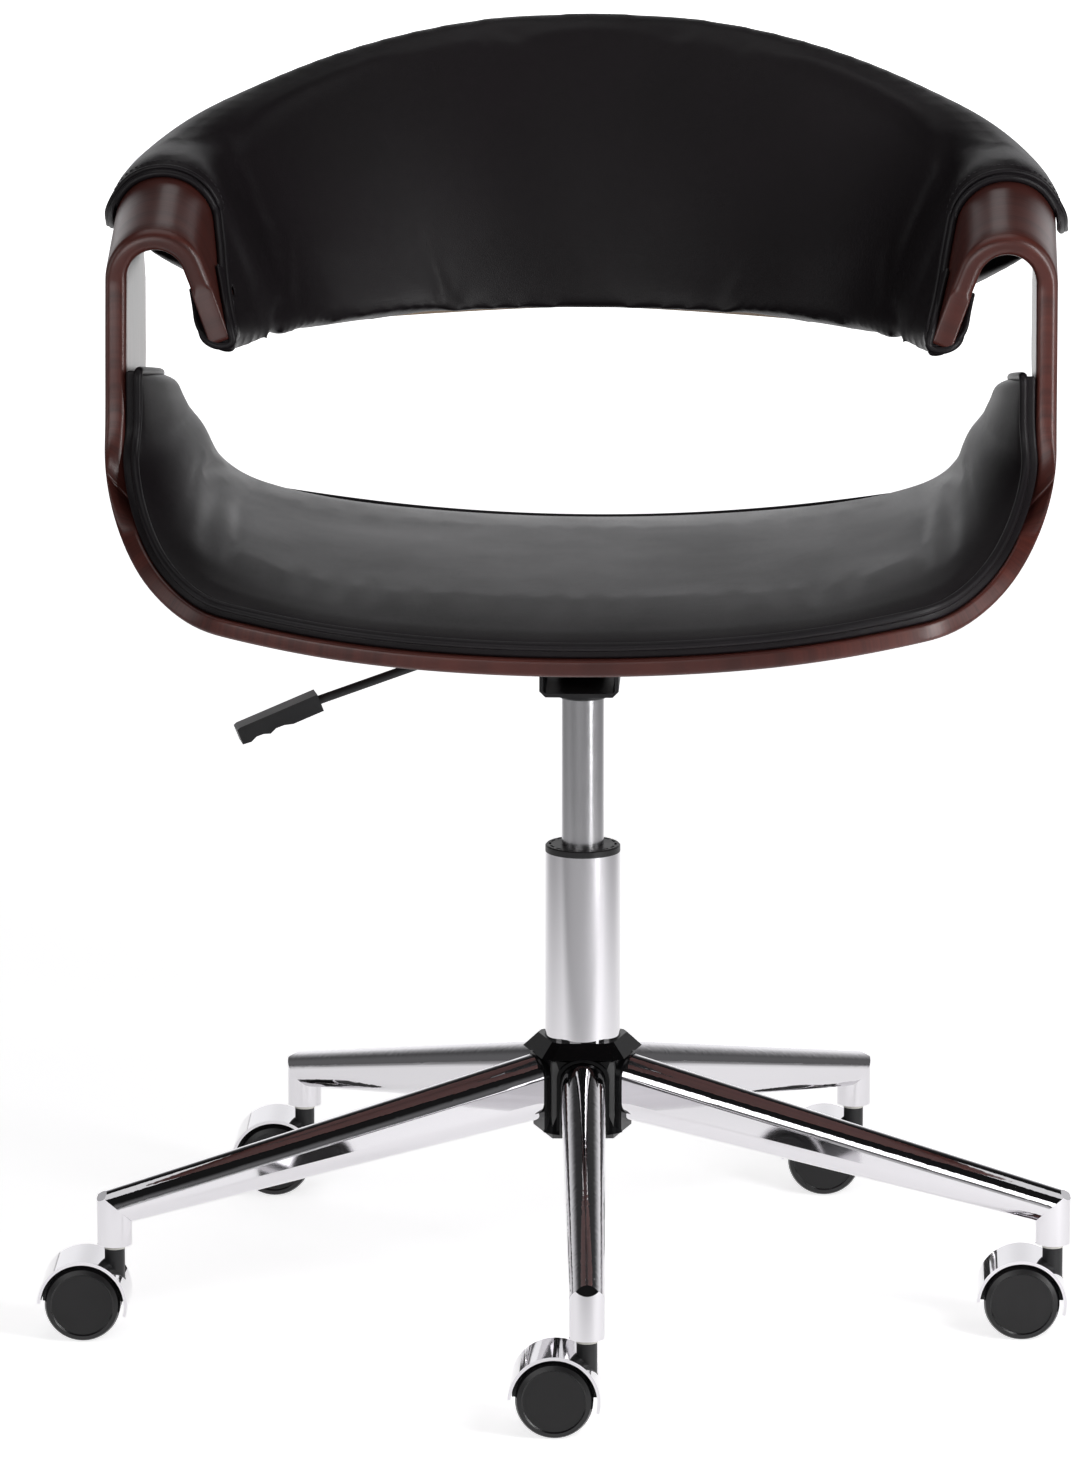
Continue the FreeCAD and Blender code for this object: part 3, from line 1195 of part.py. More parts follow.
def build_castor(index, name):
    """One castor: stem, body, hood and axle, and its two wheels."""
    place = castor_frame(index)
    turned("stem_" + name, [
        ("0", "Sizes.stem_bottom"),
        ("Sizes.stem_diameter / 2", "Sizes.stem_bottom"),
        ("Sizes.stem_diameter / 2", "Sizes.stem_top - 7"),
        ("Sizes.stem_diameter / 2 - 1", "Sizes.stem_top - 6"),
        ("Sizes.stem_diameter / 2 - 1", "Sizes.stem_top - 4"),
        ("Sizes.stem_diameter / 2", "Sizes.stem_top - 3"),
        ("Sizes.stem_diameter / 2 - 1.5", "Sizes.stem_top"),
        ("0", "Sizes.stem_top"),
    ], place)
    shaped("castor_body_" + name, castor_body_shape(), place)
    shaped("castor_hood_" + name, castor_hood_shape(), place)
    axle_level = "Sizes.wheel_diameter / 2"
    axle = bound("Part::Cylinder", "axle_" + name + "_rod", Radius="Sizes.axle_diameter / 2",
                 Height="Sizes.wheel_spacing + 2 * Sizes.axle_depth")
    doc.recompute()
    half = value_of("Sizes.wheel_spacing / 2 + Sizes.axle_depth")
    across = Placement(Vector(size("castor_trail"), half, value_of(axle_level)),
                       Rotation(Vector(1, 0, 0), 90))
    keep(axle, "axle_" + name, place.multiply(across))
    for hand, turn in (("a", -90), ("b", 90)):
        start = size("wheel_spacing") / 2 * (1 if hand == "a" else -1)
        spot = Placement(Vector(size("castor_trail"), start, value_of(axle_level)),
                         Rotation(Vector(1, 0, 0), turn))
        build_wheel("wheel_%s_%s" % (name, hand), place.multiply(spot))


def build_wheel(name, placement):
    """A cup-shaped wheel with a blind hub; its own Z axis points outward."""
    turned(name, [
        ("Sizes.axle_diameter / 2 + Sizes.running_gap", "0"),
        ("Sizes.axle_diameter / 2 + 4", "0"),
        ("Sizes.axle_diameter / 2 + 4", "Sizes.wheel_width - 5"),
        ("Sizes.wheel_diameter / 2 - 4", "Sizes.wheel_width - 5"),
        ("Sizes.wheel_diameter / 2 - 4", "0.6"),
        ("Sizes.wheel_diameter / 2 - 1", "0.6"),
        ("Sizes.wheel_diameter / 2", "1.6"),
        ("Sizes.wheel_diameter / 2", "Sizes.wheel_width - Sizes.wheel_round"),
        ("Sizes.wheel_diameter / 2 - Sizes.wheel_round * 0.3",
         "Sizes.wheel_width - Sizes.wheel_round * 0.3"),
        ("Sizes.wheel_diameter / 2 - Sizes.wheel_round", "Sizes.wheel_width"),
        ("Sizes.wheel_diameter / 2 - Sizes.wheel_round - 1", "Sizes.wheel_width - 0.8"),
        ("0", "Sizes.wheel_width - 0.8"),
        ("0", "Sizes.axle_depth + Sizes.running_gap"),
        ("Sizes.axle_diameter / 2 + Sizes.running_gap", "Sizes.axle_depth + Sizes.running_gap"),
    ], placement)


def castor_body_shape():
    """The body: a neck round the stem and a web between the wheels that carries the hood."""
    trail, level = size("castor_trail"), size("wheel_diameter") / 2
    half = size("body_width") / 2
    radius = size("hood_radius") - size("hood_thickness") - size("running_gap")
    axle = Vector(trail, -half, level)
    web = Part.makeCylinder(radius, 2 * half, axle, Vector(0, 1, 0))
    web = web.cut(Part.makeBox(4 * radius, 4 * half, 2 * radius,
                               Vector(trail - 2 * radius, -2 * half, level - 2 * radius - 2)))
    boss = Part.makeCylinder(size("axle_diameter") / 2 + 3, 2 * half, axle, Vector(0, 1, 0))
    neck = Part.makeCylinder(size("neck_diameter") / 2, size("neck_top") - size("neck_bottom"),
                             Vector(0, 0, size("neck_bottom")))
    clear = size("wheel_diameter") / 2 + size("seat_gap")
    for side in (1, -1):
        start = half if side > 0 else -half - size("wheel_width")
        neck = neck.cut(Part.makeCylinder(clear, size("wheel_width"),
                                          Vector(trail, start, level), Vector(0, 1, 0)))
    body = web.fuse([boss, neck])
    body = body.cut(Part.makeCylinder(size("axle_diameter") / 2, 4 * half,
                                      Vector(trail, -2 * half, level), Vector(0, 1, 0)))
    body = body.cut(Part.makeCylinder(size("stem_diameter") / 2, size("neck_top"),
                                      Vector(0, 0, size("stem_bottom"))))
    return solid_of(body)


def castor_hood_shape():
    """The hood: a rolled band over both wheels with a notch for the neck."""
    trail, level = size("castor_trail"), size("wheel_diameter") / 2
    radius, width = size("hood_radius"), size("hood_width")
    inner = radius - size("hood_thickness")
    axle = Vector(trail, -width / 2, level)
    sweep = 180 + size("hood_drop") - size("hood_rise")
    outer = Part.makeCylinder(radius, width, axle, Vector(0, 1, 0))
    band = outer.cut(Part.makeCylinder(inner, width, axle, Vector(0, 1, 0)))
    middle = math.radians(size("hood_rise") + sweep / 2)
    gap = math.radians((360 - sweep) / 2)
    reach = 3 * radius
    centre = Vector(trail, -width, level)
    away = Vector(math.cos(middle + math.pi), 0, math.sin(middle + math.pi))
    low = centre + Vector(math.cos(middle + math.pi - gap), 0,
                          math.sin(middle + math.pi - gap)) * reach
    high = centre + Vector(math.cos(middle + math.pi + gap), 0,
                           math.sin(middle + math.pi + gap)) * reach
    wedge = prism([centre, low, low + away * reach, high + away * reach, high],
                  Vector(0, 2 * width, 0))
    band = band.cut(wedge)
    notch = size("neck_diameter") / 2 + size("seat_gap")
    band = band.cut(Part.makeCylinder(notch, 2 * radius, Vector(0, 0, level)))
    return solid_of(band)


def build_castors():
    for index, name in enumerate(LEG_NAMES):
        build_castor(index, name)
    build_sleeves()


build_hub_core()
build_legs()
build_hub_cover()
build_column()
build_piston()
build_cylinder()
build_channel()
build_bolts()
build_lever()
build_grip()
build_shell()
build_arms()
build_back()
build_pad()
build_castors()
doc.recompute()

for item in doc.Objects:
    if "Invalid" in item.State or "Error" in item.State:
        raise RuntimeError("%s is in state %s" % (item.Label, item.State))
for item in nodes:
    if item.Shape.isNull() or not item.Shape.isValid():
        raise RuntimeError("%s has no valid shape" % item.Label)

os.makedirs("parts", exist_ok=True)
for item in nodes:
    item.Shape.exportStep(os.path.join("parts", item.Label + ".step"))
print("%d sub-parts written" % len(nodes))
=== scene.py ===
import json
import math
import bpy
import numpy as np
from mathutils import Matrix, Vector
from mathutils.bvhtree import BVHTree


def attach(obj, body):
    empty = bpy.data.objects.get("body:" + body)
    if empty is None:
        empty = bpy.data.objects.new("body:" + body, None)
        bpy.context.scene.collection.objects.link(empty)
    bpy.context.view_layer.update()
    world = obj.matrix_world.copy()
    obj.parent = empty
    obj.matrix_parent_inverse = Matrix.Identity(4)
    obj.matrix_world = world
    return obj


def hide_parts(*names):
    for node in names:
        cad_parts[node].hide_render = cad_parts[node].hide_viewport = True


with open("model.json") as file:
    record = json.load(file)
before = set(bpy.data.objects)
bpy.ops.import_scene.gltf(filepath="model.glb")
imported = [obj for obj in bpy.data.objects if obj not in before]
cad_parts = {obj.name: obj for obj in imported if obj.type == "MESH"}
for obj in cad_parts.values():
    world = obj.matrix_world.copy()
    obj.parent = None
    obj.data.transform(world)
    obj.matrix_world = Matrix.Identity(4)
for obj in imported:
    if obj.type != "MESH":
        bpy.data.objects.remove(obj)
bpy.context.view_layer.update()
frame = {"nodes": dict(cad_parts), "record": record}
nodes = frame["nodes"]
scene = bpy.context.scene

# Sizes repeated from the part's source: millimetres, angles in radians, and SLOPE as rise per run.
HALF, BOTTOM, BIG, CORNER = 310.5, 473.5, 1300.0, 100.0
SHELL, PLY, JOINT = 11.5, 14.0, 575.0
SEAT_FRONT, SEAT_REAR, ARM_FOOT, ARM_REAR = -240.0, 190.0, -78.0, 114.0
ARCH_R, ARCH_Z, ARM_FRONT, REAR_TOP, LEG_END = 33.0, 697.0, -60.0, 76.0, 657.0
SLOPE, TILT = math.tan(math.radians(14)), math.radians(21)
SCARF, SCARF_RUN, THICKEN = math.radians(65.66), 30.0, 40.0
LEAN_FROM, LEAN_END = 1.0, 1.4
BOARD_EDGE, EDGE_GROWTH, EDGE_GROWS_OVER = 2.6, 1.6, 24.0
LEG_EDGE, LEG_EDGE_LOSS, LEG_LOSS_FROM, LEG_LOSS_END = 4.8, 3.4, 14.0, 19.0
ARM_KNEE, ARM_KNEE_RISE = 671.0, 62.0
OUTLINE = [
    (0.000, 0.000, 0.000), (0.025, 0.004, 0.000), (0.094, 0.040, 0.000), (0.172, 0.120, 0.016),
    (0.251, 0.216, 0.098), (0.340, 0.325, 0.215), (0.478, 0.475, 0.372), (0.635, 0.648, 0.510),
    (0.882, 0.862, 0.745), (1.108, 0.985, 0.930), (1.246, 1.024, 0.985),
]


def spline(xs, ys):
    """A natural cubic spline through the points."""
    xs, ys = np.array(xs, float), np.array(ys, float)
    step, count = np.diff(xs), len(xs)
    rows, right = np.eye(count), np.zeros(count)
    for i in range(1, count - 1):
        rows[i, i - 1:i + 2] = step[i - 1], 2 * (step[i - 1] + step[i]), step[i]
        right[i] = 6 * ((ys[i + 1] - ys[i]) / step[i] - (ys[i] - ys[i - 1]) / step[i - 1])
    bend = np.linalg.solve(rows, right)

    def at(x):
        x = np.clip(x, xs[0], xs[-1])
        k = np.clip(np.searchsorted(xs, x) - 1, 0, count - 2)
        t, u, h = x - xs[k], xs[k + 1] - x, step[k]
        return ((bend[k] * u ** 3 + bend[k + 1] * t ** 3) / (6 * h)
                + (ys[k] / h - bend[k] * h / 6) * u + (ys[k + 1] / h - bend[k + 1] * h / 6) * t)
    return at


def smooth_step(x, low, high):
    """0 up to the low value, 1 from the high one, and a smooth change between them."""
    t = np.clip((x - low) / (high - low), 0, 1)
    return t * t * (3 - 2 * t)


# The bent seat: its outer face is a line across the chair, measured from the middle.

ACROSS = HALF - CORNER
CROWN = BOTTOM + BIG
LEVEL = CROWN - math.sqrt((BIG - CORNER) ** 2 - ACROSS ** 2)
TURN = math.atan2(ACROSS, CROWN - LEVEL)
KNEE = BIG * TURN
UPRIGHT = KNEE + CORNER * (math.pi / 2 - TURN)


def bend_line(run):
    """x, z and normal angle of the outer face at a distance along it from the middle."""
    run = np.asarray(run, float)
    side, far = np.sign(run), np.abs(run)
    angle = np.where(far < KNEE, far / BIG, np.minimum(TURN + (far - KNEE) / CORNER, math.pi / 2))
    x = np.where(far < KNEE, BIG * np.sin(angle), ACROSS + CORNER * np.sin(angle))
    z = np.where(far < KNEE, CROWN - BIG * np.cos(angle), LEVEL - CORNER * np.cos(angle))
    z = z + np.maximum(far - UPRIGHT, 0)
    return side * x, z, side * angle


def run_at(z):
    """The distance along the outer face at which it reaches a height."""
    if z <= CROWN - BIG * math.cos(TURN):
        return BIG * math.acos(min((CROWN - z) / BIG, 1))
    if z < LEVEL:
        return KNEE + CORNER * (math.acos((LEVEL - z) / CORNER) - TURN)
    return UPRIGHT + z - LEVEL


def outline_curve(column, start, end):
    """The depth of the seat's front or rear edge over the distance along its outer face."""
    runs = [run_at(BOTTOM + row[0] * (JOINT - BOTTOM)) for row in OUTLINE]
    depths = [start + row[column] * (end - start) for row in OUTLINE]
    return spline([-r for r in runs[:0:-1]] + runs, depths[:0:-1] + depths)


front_of = outline_curve(1, SEAT_FRONT, ARM_FOOT)
rear_of = outline_curve(2, SEAT_REAR, ARM_REAR)


# Meshes


def make_mesh(name, points, faces, slots=None, uvs=None, smooth=True):
    """An object from points in millimetres; slots are material numbers and uvs are per point."""
    mesh = bpy.data.meshes.new(name)
    mesh.from_pydata([tuple(p) for p in np.asarray(points) * 0.001], [], [tuple(f) for f in faces])
    if smooth:
        mesh.polygons.foreach_set("use_smooth", [True] * len(mesh.polygons))
    if slots is not None:
        mesh.polygons.foreach_set("material_index", slots)
    if uvs is not None:
        layer = mesh.uv_layers.new(name="UVMap")
        index = np.zeros(len(mesh.loops), np.int32)
        mesh.loops.foreach_get("vertex_index", index)
        layer.data.foreach_set("uv", np.asarray(uvs, float)[index].ravel())
    obj = bpy.data.objects.new(name, mesh)
    scene.collection.objects.link(obj)
    return obj


def dress(obj, *materials):
    """Gives an object its materials, in the order of its slots."""
    obj.data.materials.clear()
    for material in materials:
        obj.data.materials.append(material)
    return obj


def board_loop(front, rear, thick, radius, rows):
    """One section of a board as (depth front to rear, depth from its outer face, part of its edge)."""
    loop = [(front + radius + (rear - front - 2 * radius) * i / rows, 0.0, 0) for i in range(rows + 1)]
    arc = [math.pi / 2 * k / 4 for k in range(1, 5)]
    edge = [(rear - radius + radius * math.sin(a), radius - radius * math.cos(a)) for a in arc]
    edge += [(rear, thick / 2)]
    edge += [(rear - radius + radius * math.cos(a), thick - radius + radius * math.sin(a))
             for a in [0.0] + arc]
    loop += [(y, d, 1) for y, d in edge[:-1]] + [(edge[-1][0], edge[-1][1], 0)]
    loop += [(rear - radius - (rear - front - 2 * radius) * i / rows, thick, 0) for i in range(1, rows + 1)]
    edge = [(front + radius - radius * math.sin(a), thick - radius + radius * math.cos(a)) for a in arc]
    edge += [(front, thick / 2)]
    edge += [(front + radius - radius * math.cos(a), radius - radius * math.sin(a)) for a in [0.0] + arc[:-1]]
    return loop + [(y, d, 1) for y, d in edge]


def board_mesh(name, sections, mirror=False):
    """Skins a list of sections, each (run, [(x, y, z, depth, edge), ...]), and closes both ends."""
    points, uvs, faces, slots = [], [], [], []
    count = len(sections[0][1])
    for run, loop in sections:
        for x, y, z, depth, edge in loop:
            points.append((-x if mirror else x, y, z))
            uvs.append((run, depth))
    for s in range(len(sections) - 1):
        for k in range(count):
            a, b = s * count + k, s * count + (k + 1) % count
            quad = (a, b, b + count, a + count)
            faces.append(quad[::-1] if mirror else quad)
            both = sections[s][1][k][4] + sections[s][1][(k + 1) % count][4]
            slots.append(1 if both else 0)
    first, last = list(range(count)), [len(points) - count + k for k in range(count)]
    faces += [first if mirror else first[::-1], last[::-1] if mirror else last]
    slots += [1, 1]
    obj = make_mesh(name, points, faces, slots, np.array(uvs) * 0.001)
    for end in list(obj.data.polygons)[-2:]:
        end.use_smooth = False
    return obj


def build_shell():
    """The bent board under the seat, up to the joints with the arms."""
    end = run_at(JOINT)
    sections = []
    for run in np.linspace(-end, end, 141):
        x, z, angle = (float(v) for v in bend_line(run))
        front, rear = float(front_of(run)), float(rear_of(run))
        loop = []
        far = abs(angle)
        # Towards its end the board's thickness leans over, until it meets the slanted joint.
        shear = 0.0 if far < LEAN_FROM else (far - LEAN_FROM) / (LEAN_END - LEAN_FROM) * (LEAN_END - SCARF)
        inner = math.copysign(far - shear, angle) if far > LEAN_FROM else angle
        for y, depth, edge in board_loop(front, rear, SHELL, BOARD_EDGE, 16):
            share = depth / SHELL
            lean = angle + share * (inner - angle)
            if far < TURN:
                loop.append((x - math.sin(angle) * depth, y, z + math.cos(angle) * depth, depth, edge))
            else:
                side = math.copysign(1, angle)
                loop.append((side * (ACROSS + (CORNER - depth) * math.sin(abs(lean))), y,
                             LEVEL - (CORNER - depth) * math.cos(lean), depth, edge))
        sections.append((run, loop))
    return board_mesh("bent_seat", sections)


arm_front_line = spline([538.0, 563.0, 586.0, 600.0, 636.0, 697.0],
                        [-135.0, -100.4, -80.4, -74.1, -68.1, -60.0])
arm_rear_line = spline([538.0, 563.0, 586.0, 600.0, ARM_KNEE], [151.2, 133.4, 119.3, 115.1, ARM_REAR])


def arm_front_at(z):
    return ARM_FRONT if z > ARCH_Z else float(arm_front_line(z))


def arm_rear_at(z):
    if z < ARM_KNEE:
        return float(arm_rear_line(z))
    return max(ARM_REAR - (z - ARM_KNEE) * (ARM_REAR - REAR_TOP) / ARM_KNEE_RISE, REAR_TOP)


def settle(edge_at, z, share):
    """The depth at which a sheared line of the arm meets its outline."""
    y = 0.0
    for _ in range(12):
        y = 0.5 * y + 0.5 * edge_at(z + share * (y - ARM_FRONT) * SLOPE)
    return y


def arm_line():
    """Stations along the arm: run, outer point, inward direction, share of the arch's slope, edge radius."""
    line = []
    for z in np.linspace(JOINT, ARCH_Z, 43):
        share = float(smooth_step(z, JOINT, ARCH_Z))
        x, level, angle = (float(v) for v in bend_line(run_at(z)))
        radius = BOARD_EDGE + EDGE_GROWTH * float(smooth_step(z, JOINT, JOINT + EDGE_GROWS_OVER))
        line.append((z - JOINT, x, level, -math.sin(angle), math.cos(angle), share, radius))
    run, arch, steps = ARCH_Z - JOINT, math.pi - TILT, 30
    for k in range(1, steps + 1):
        a = arch * k / steps
        radius = BOARD_EDGE + EDGE_GROWTH + EDGE_GROWTH * math.sin(a)
        line.append((run + ARCH_R * a, HALF - ARCH_R + ARCH_R * math.cos(a), ARCH_Z + ARCH_R * math.sin(a),
                     -math.cos(a), -math.sin(a), 1.0, radius))
    # The inner leg is cut off square to the board, and its edges are sharper where the band closes round it.
    run += ARCH_R * arch
    x0, z0 = line[-1][1], line[-1][2]
    length = (z0 - LEG_END) / math.cos(TILT) - PLY * math.tan(TILT)
    steps = 22
    for k in range(1, steps + 1):
        t = length * k / steps
        radius = LEG_EDGE - LEG_EDGE_LOSS * float(smooth_step(t, LEG_LOSS_FROM, LEG_LOSS_END))
        line.append((run + t, x0 - math.sin(TILT) * t, z0 - math.cos(TILT) * t,
                     math.cos(TILT), -math.sin(TILT), 1.0, radius))
    return line


def build_arm(name, mirror):
    """One bent arm, from its joint with the seat over the arch to the inner leg's end."""
    sections = []
    foot = abs(float(bend_line(run_at(JOINT))[2]))
    for run, x, z, nx, nz, share, radius in arm_line():
        front = settle(arm_front_at, z, share)
        rear = settle(arm_rear_at, z, share)
        thick = SHELL + (PLY - SHELL) * float(smooth_step(run, 0, THICKEN))
        shear = (foot - SCARF) * max(1 - run / SCARF_RUN, 0)
        loop = []
        for y, depth, edge in board_loop(front, rear, thick, radius, 12):
            px, pz = x + nx * depth, z + nz * depth
            if shear > 0:
                # The joint's face is the same slant as at the end of the seat's board.
                lean = math.atan2(-nx, nz) - depth / thick * shear
                px = ACROSS + (CORNER - depth) * math.sin(lean)
                pz = max(z, LEVEL) - (CORNER - depth) * math.cos(lean)
            loop.append((px, y, pz + share * (y - ARM_FRONT) * SLOPE, depth, edge))
        sections.append((run, loop))
    return board_mesh(name, sections, mirror)


# Materials


def new_material(name):
    """A material with one shader: the material, its node tree and the shader."""
    material = bpy.data.materials.new(name)
    material.use_nodes = True
    tree = material.node_tree
    tree.nodes.clear()
    out = tree.nodes.new("ShaderNodeOutputMaterial")
    shader = tree.nodes.new("ShaderNodeBsdfPrincipled")
    tree.links.new(shader.outputs[0], out.inputs["Surface"])
    return material, tree, shader


def feed(tree, node, inputs):
    """Links each input to a socket, or sets it to a plain value."""
    for key, value in inputs.items():
        if isinstance(value, bpy.types.NodeSocket):
            tree.links.new(value, node.inputs[key])
        else:
            node.inputs[key].default_value = value


def add(tree, kind, inputs, **settings):
    node = tree.nodes.new(kind)
    for key, value in settings.items():
        setattr(node, key, value)
    feed(tree, node, inputs)
    return node


def maths(tree, operation, *values):
    """A sum or other operation on values and sockets."""
    return add(tree, "ShaderNodeMath", dict(enumerate(values)), operation=operation).outputs[0]


def split(tree, source):
    """The x, y and z sockets of a vector."""
    return add(tree, "ShaderNodeSeparateXYZ", {0: source}).outputs


def multiply(tree, share, first, second):
    """The first colour darkened by a share of the second."""
    return add(tree, "ShaderNodeMix", {0: share, 6: first, 7: second}, data_type="RGBA",
               blend_type="MULTIPLY").outputs[2]


def ramp(tree, source, stops):
    """A colour chosen by a value, from stops of (position, colour)."""
    node = tree.nodes.new("ShaderNodeValToRGB")
    while len(node.color_ramp.elements) < len(stops):
        node.color_ramp.elements.new(0.5)
    for element, (at, colour) in zip(node.color_ramp.elements, stops):
        element.position = at
        element.color = tuple(colour) + (1,)
    tree.links.new(source, node.inputs[0])
    return node.outputs[0]


def spread(tree, source, low, high, start=0.0, end=1.0):
    """A value moved from one range to another."""
    return add(tree, "ShaderNodeMapRange", {0: source, 1: start, 2: end, 3: low, 4: high}).outputs[0]


def fade(tree, source, start, end, low, high):
    """A value that goes smoothly from low at the start to high at the end."""
    return add(tree, "ShaderNodeMapRange", {0: source, 1: start, 2: end, 3: low, 4: high},
               interpolation_type="SMOOTHSTEP").outputs[0]


def noise(tree, where, scale, detail=3.0, rough=0.5, distortion=0.0):
    return add(tree, "ShaderNodeTexNoise", {"Vector": where, "Scale": scale, "Detail": detail,
                                            "Roughness": rough, "Distortion": distortion})


def bump(tree, height, strength, distance, normal=None):
    inputs = {"Height": height, "Strength": strength, "Distance": distance}
    if normal is not None:
        inputs["Normal"] = normal
    return add(tree, "ShaderNodeBump", inputs).outputs[0]


def stretch(tree, where, scale):
    return add(tree, "ShaderNodeMapping", {"Vector": where, "Scale": scale}).outputs[0]


def texture_of(tree, kind):
    return tree.nodes.new("ShaderNodeTexCoord").outputs[kind]


def coordinates(tree, scale=(1, 1, 1)):
    """A place on the object, in metres, stretched by the scale."""
    return stretch(tree, texture_of(tree, "Object"), scale)


def metal(name, colour, rough, brushed=None, scratches=0.02):
    """Polished or brushed metal: faint wear in its gloss and, if brushed, fine lines along an axis."""
    material, tree, shader = new_material(name)
    wear = noise(tree, coordinates(tree), 38, 4, 0.6).outputs[0]
    if brushed:
        lines = noise(tree, coordinates(tree, brushed), 1.0, 4, 0.7).outputs[0]
        relief = bump(tree, lines, 0.12, 0.0002)
    else:
        relief = bump(tree, wear, 0.015, 0.0004)
    feed(tree, shader, {"Base Color": tuple(colour) + (1,), "Metallic": 1.0, "Normal": relief,
                        "Roughness": spread(tree, wear, rough, rough + scratches, 0.35, 0.75)})
    return material


def moulding(name, colour, rough, grain=2600, depth=0.15, gloss=None, shine=0.35):
    """Moulded plastic, rubber or paint: fine grain, slight change of tone, glossier where it curves."""
    material, tree, shader = new_material(name)
    where = coordinates(tree)
    tone = noise(tree, where, 22, 3, 0.6).outputs[0]
    low = [c * 0.82 for c in colour]
    high = [min(c * 1.22, 1) for c in colour]
    fine = noise(tree, where, grain, 2, 0.5).outputs[0]
    if gloss is None:
        level = spread(tree, tone, rough * 0.9, rough * 1.12, 0.3, 0.7)
    else:
        # Flat faces across the axle are matte, and the rounded rim is glossy.
        flat = maths(tree, "ABSOLUTE", split(tree, texture_of(tree, "Normal"))[1])
        level = spread(tree, flat, gloss, rough, 0.90, 0.995)
    feed(tree, shader, {"Base Color": ramp(tree, tone, [(0.3, low), (0.7, high)]), "Roughness": level,
                        "Normal": bump(tree, fine, depth, 0.0002), "Specular IOR Level": shine})
    return material


def veneer(name):
    """Dark stained veneer under satin lacquer; the grain runs along the bend."""
    material, tree, shader = new_material(name)
    run, deep = split(tree, texture_of(tree, "UV"))[0], split(tree, coordinates(tree))[1]
    flow = add(tree, "ShaderNodeCombineXYZ", {0: run, 1: deep, 2: 0.0}).outputs[0]
    figure = noise(tree, stretch(tree, flow, (3.2, 46, 1)), 1.0, 5, 0.62, 1.1).outputs[0]
    pores = noise(tree, stretch(tree, flow, (14, 950, 1)), 1.0, 4, 0.65, 0.2).outputs[0]
    dark = ramp(tree, figure, [(0.28, (0.054, 0.0135, 0.0105)), (0.55, (0.088, 0.0215, 0.0160)),
                               (0.78, (0.125, 0.0320, 0.0225))])
    streak = ramp(tree, pores, [(0.36, (0.45, 0.42, 0.42)), (0.62, (1.0, 1.0, 1.0))])
    feed(tree, shader, {"Base Color": multiply(tree, 0.75, dark, streak),
                        "Roughness": spread(tree, pores, 0.40, 0.31, 0.3, 0.7),
                        "Normal": bump(tree, pores, 0.10, 0.0002),
                        "Coat Weight": 0.35, "Coat Roughness": 0.28, "Specular IOR Level": 0.36})
    return material


PLY_LAYER = 0.00155


def ply_edge(name):
    """The lacquered reddish edge of the plywood, with its layers as faint lines."""
    material, tree, shader = new_material(name)
    run, deep, _ = split(tree, texture_of(tree, "UV"))
    wander = noise(tree, coordinates(tree), 26, 2).outputs[0]
    depth = maths(tree, "MULTIPLY_ADD", wander, 0.0006, deep)
    wave = maths(tree, "SINE", maths(tree, "MULTIPLY", depth, math.pi / PLY_LAYER))
    long = add(tree, "ShaderNodeCombineXYZ", {0: run, 1: deep, 2: 0.0}).outputs[0]
    fibre = noise(tree, stretch(tree, long, (40, 2600, 1)), 1.0, 3, 0.6).outputs[0]
    base = ramp(tree, spread(tree, wave, 0, 1, -1, 1), [(0.0, (0.330, 0.0440, 0.0240)),
                                                        (0.45, (0.500, 0.0660, 0.0340)),
                                                        (1.0, (0.600, 0.0820, 0.0430))])
    tone = ramp(tree, fibre, [(0.3, (0.62, 0.60, 0.60)), (0.7, (1.0, 1.0, 1.0))])
    feed(tree, shader, {"Base Color": multiply(tree, 0.8, base, tone),
                        "Roughness": spread(tree, fibre, 0.34, 0.24, 0.3, 0.7),
                        "Normal": bump(tree, fibre, 0.12, 0.0002),
                        "Coat Weight": 0.10, "Coat Roughness": 0.13, "Specular IOR Level": 0.08})
    return material


def leatherette(name, colour=(0.0095, 0.0075, 0.0088), rough=0.42, grain=1.0):
    """Black leatherette: small pebbled cells, faint creases, and a little change of tone and gloss."""
    material, tree, shader = new_material(name)
    where = coordinates(tree)
    shift = add(tree, "ShaderNodeVectorMath", {0: noise(tree, where, 90, 2).outputs[1], 1: (0.0022,) * 3},
                operation="MULTIPLY").outputs[0]
    warped = add(tree, "ShaderNodeVectorMath", {0: where, 1: shift}, operation="ADD").outputs[0]
    cells = add(tree, "ShaderNodeTexVoronoi", {"Vector": warped, "Scale": 820.0, "Randomness": 1.0},
                feature="DISTANCE_TO_EDGE").outputs[0]
    pebble = spread(tree, cells, 0, 1, 0.0, 0.16)
    crease = noise(tree, where, 150, 5, 0.62).outputs[0]
    broad = noise(tree, where, 9, 3, 0.55).outputs[0]
    low = [c * 0.80 for c in colour]
    high = [c * 1.30 for c in colour]
    level = spread(tree, broad, rough + 0.05, rough - 0.03, 0.3, 0.7)
    creased = bump(tree, crease, 0.12 * grain, 0.0006)
    feed(tree, shader, {"Base Color": ramp(tree, broad, [(0.3, low), (0.72, high)]),
                        "Roughness": maths(tree, "MULTIPLY_ADD", pebble, -0.07, level),
                        "Normal": bump(tree, pebble, 0.20 * grain, 0.00022, creased),
                        "Specular IOR Level": 0.21})
    return material


def thread(name):
    """Twisted black sewing thread."""
    material, tree, shader = new_material(name)
    twist = add(tree, "ShaderNodeTexWave", {"Vector": coordinates(tree), "Scale": 900.0,
                                            "Distortion": 2.0}).outputs[1]
    tone = ramp(tree, twist, [(0.2, (0.010, 0.008, 0.010)), (0.8, (0.030, 0.026, 0.030))])
    feed(tree, shader, {"Base Color": tone, "Roughness": 0.6, "Normal": bump(tree, twist, 0.4, 0.0002)})
    return material


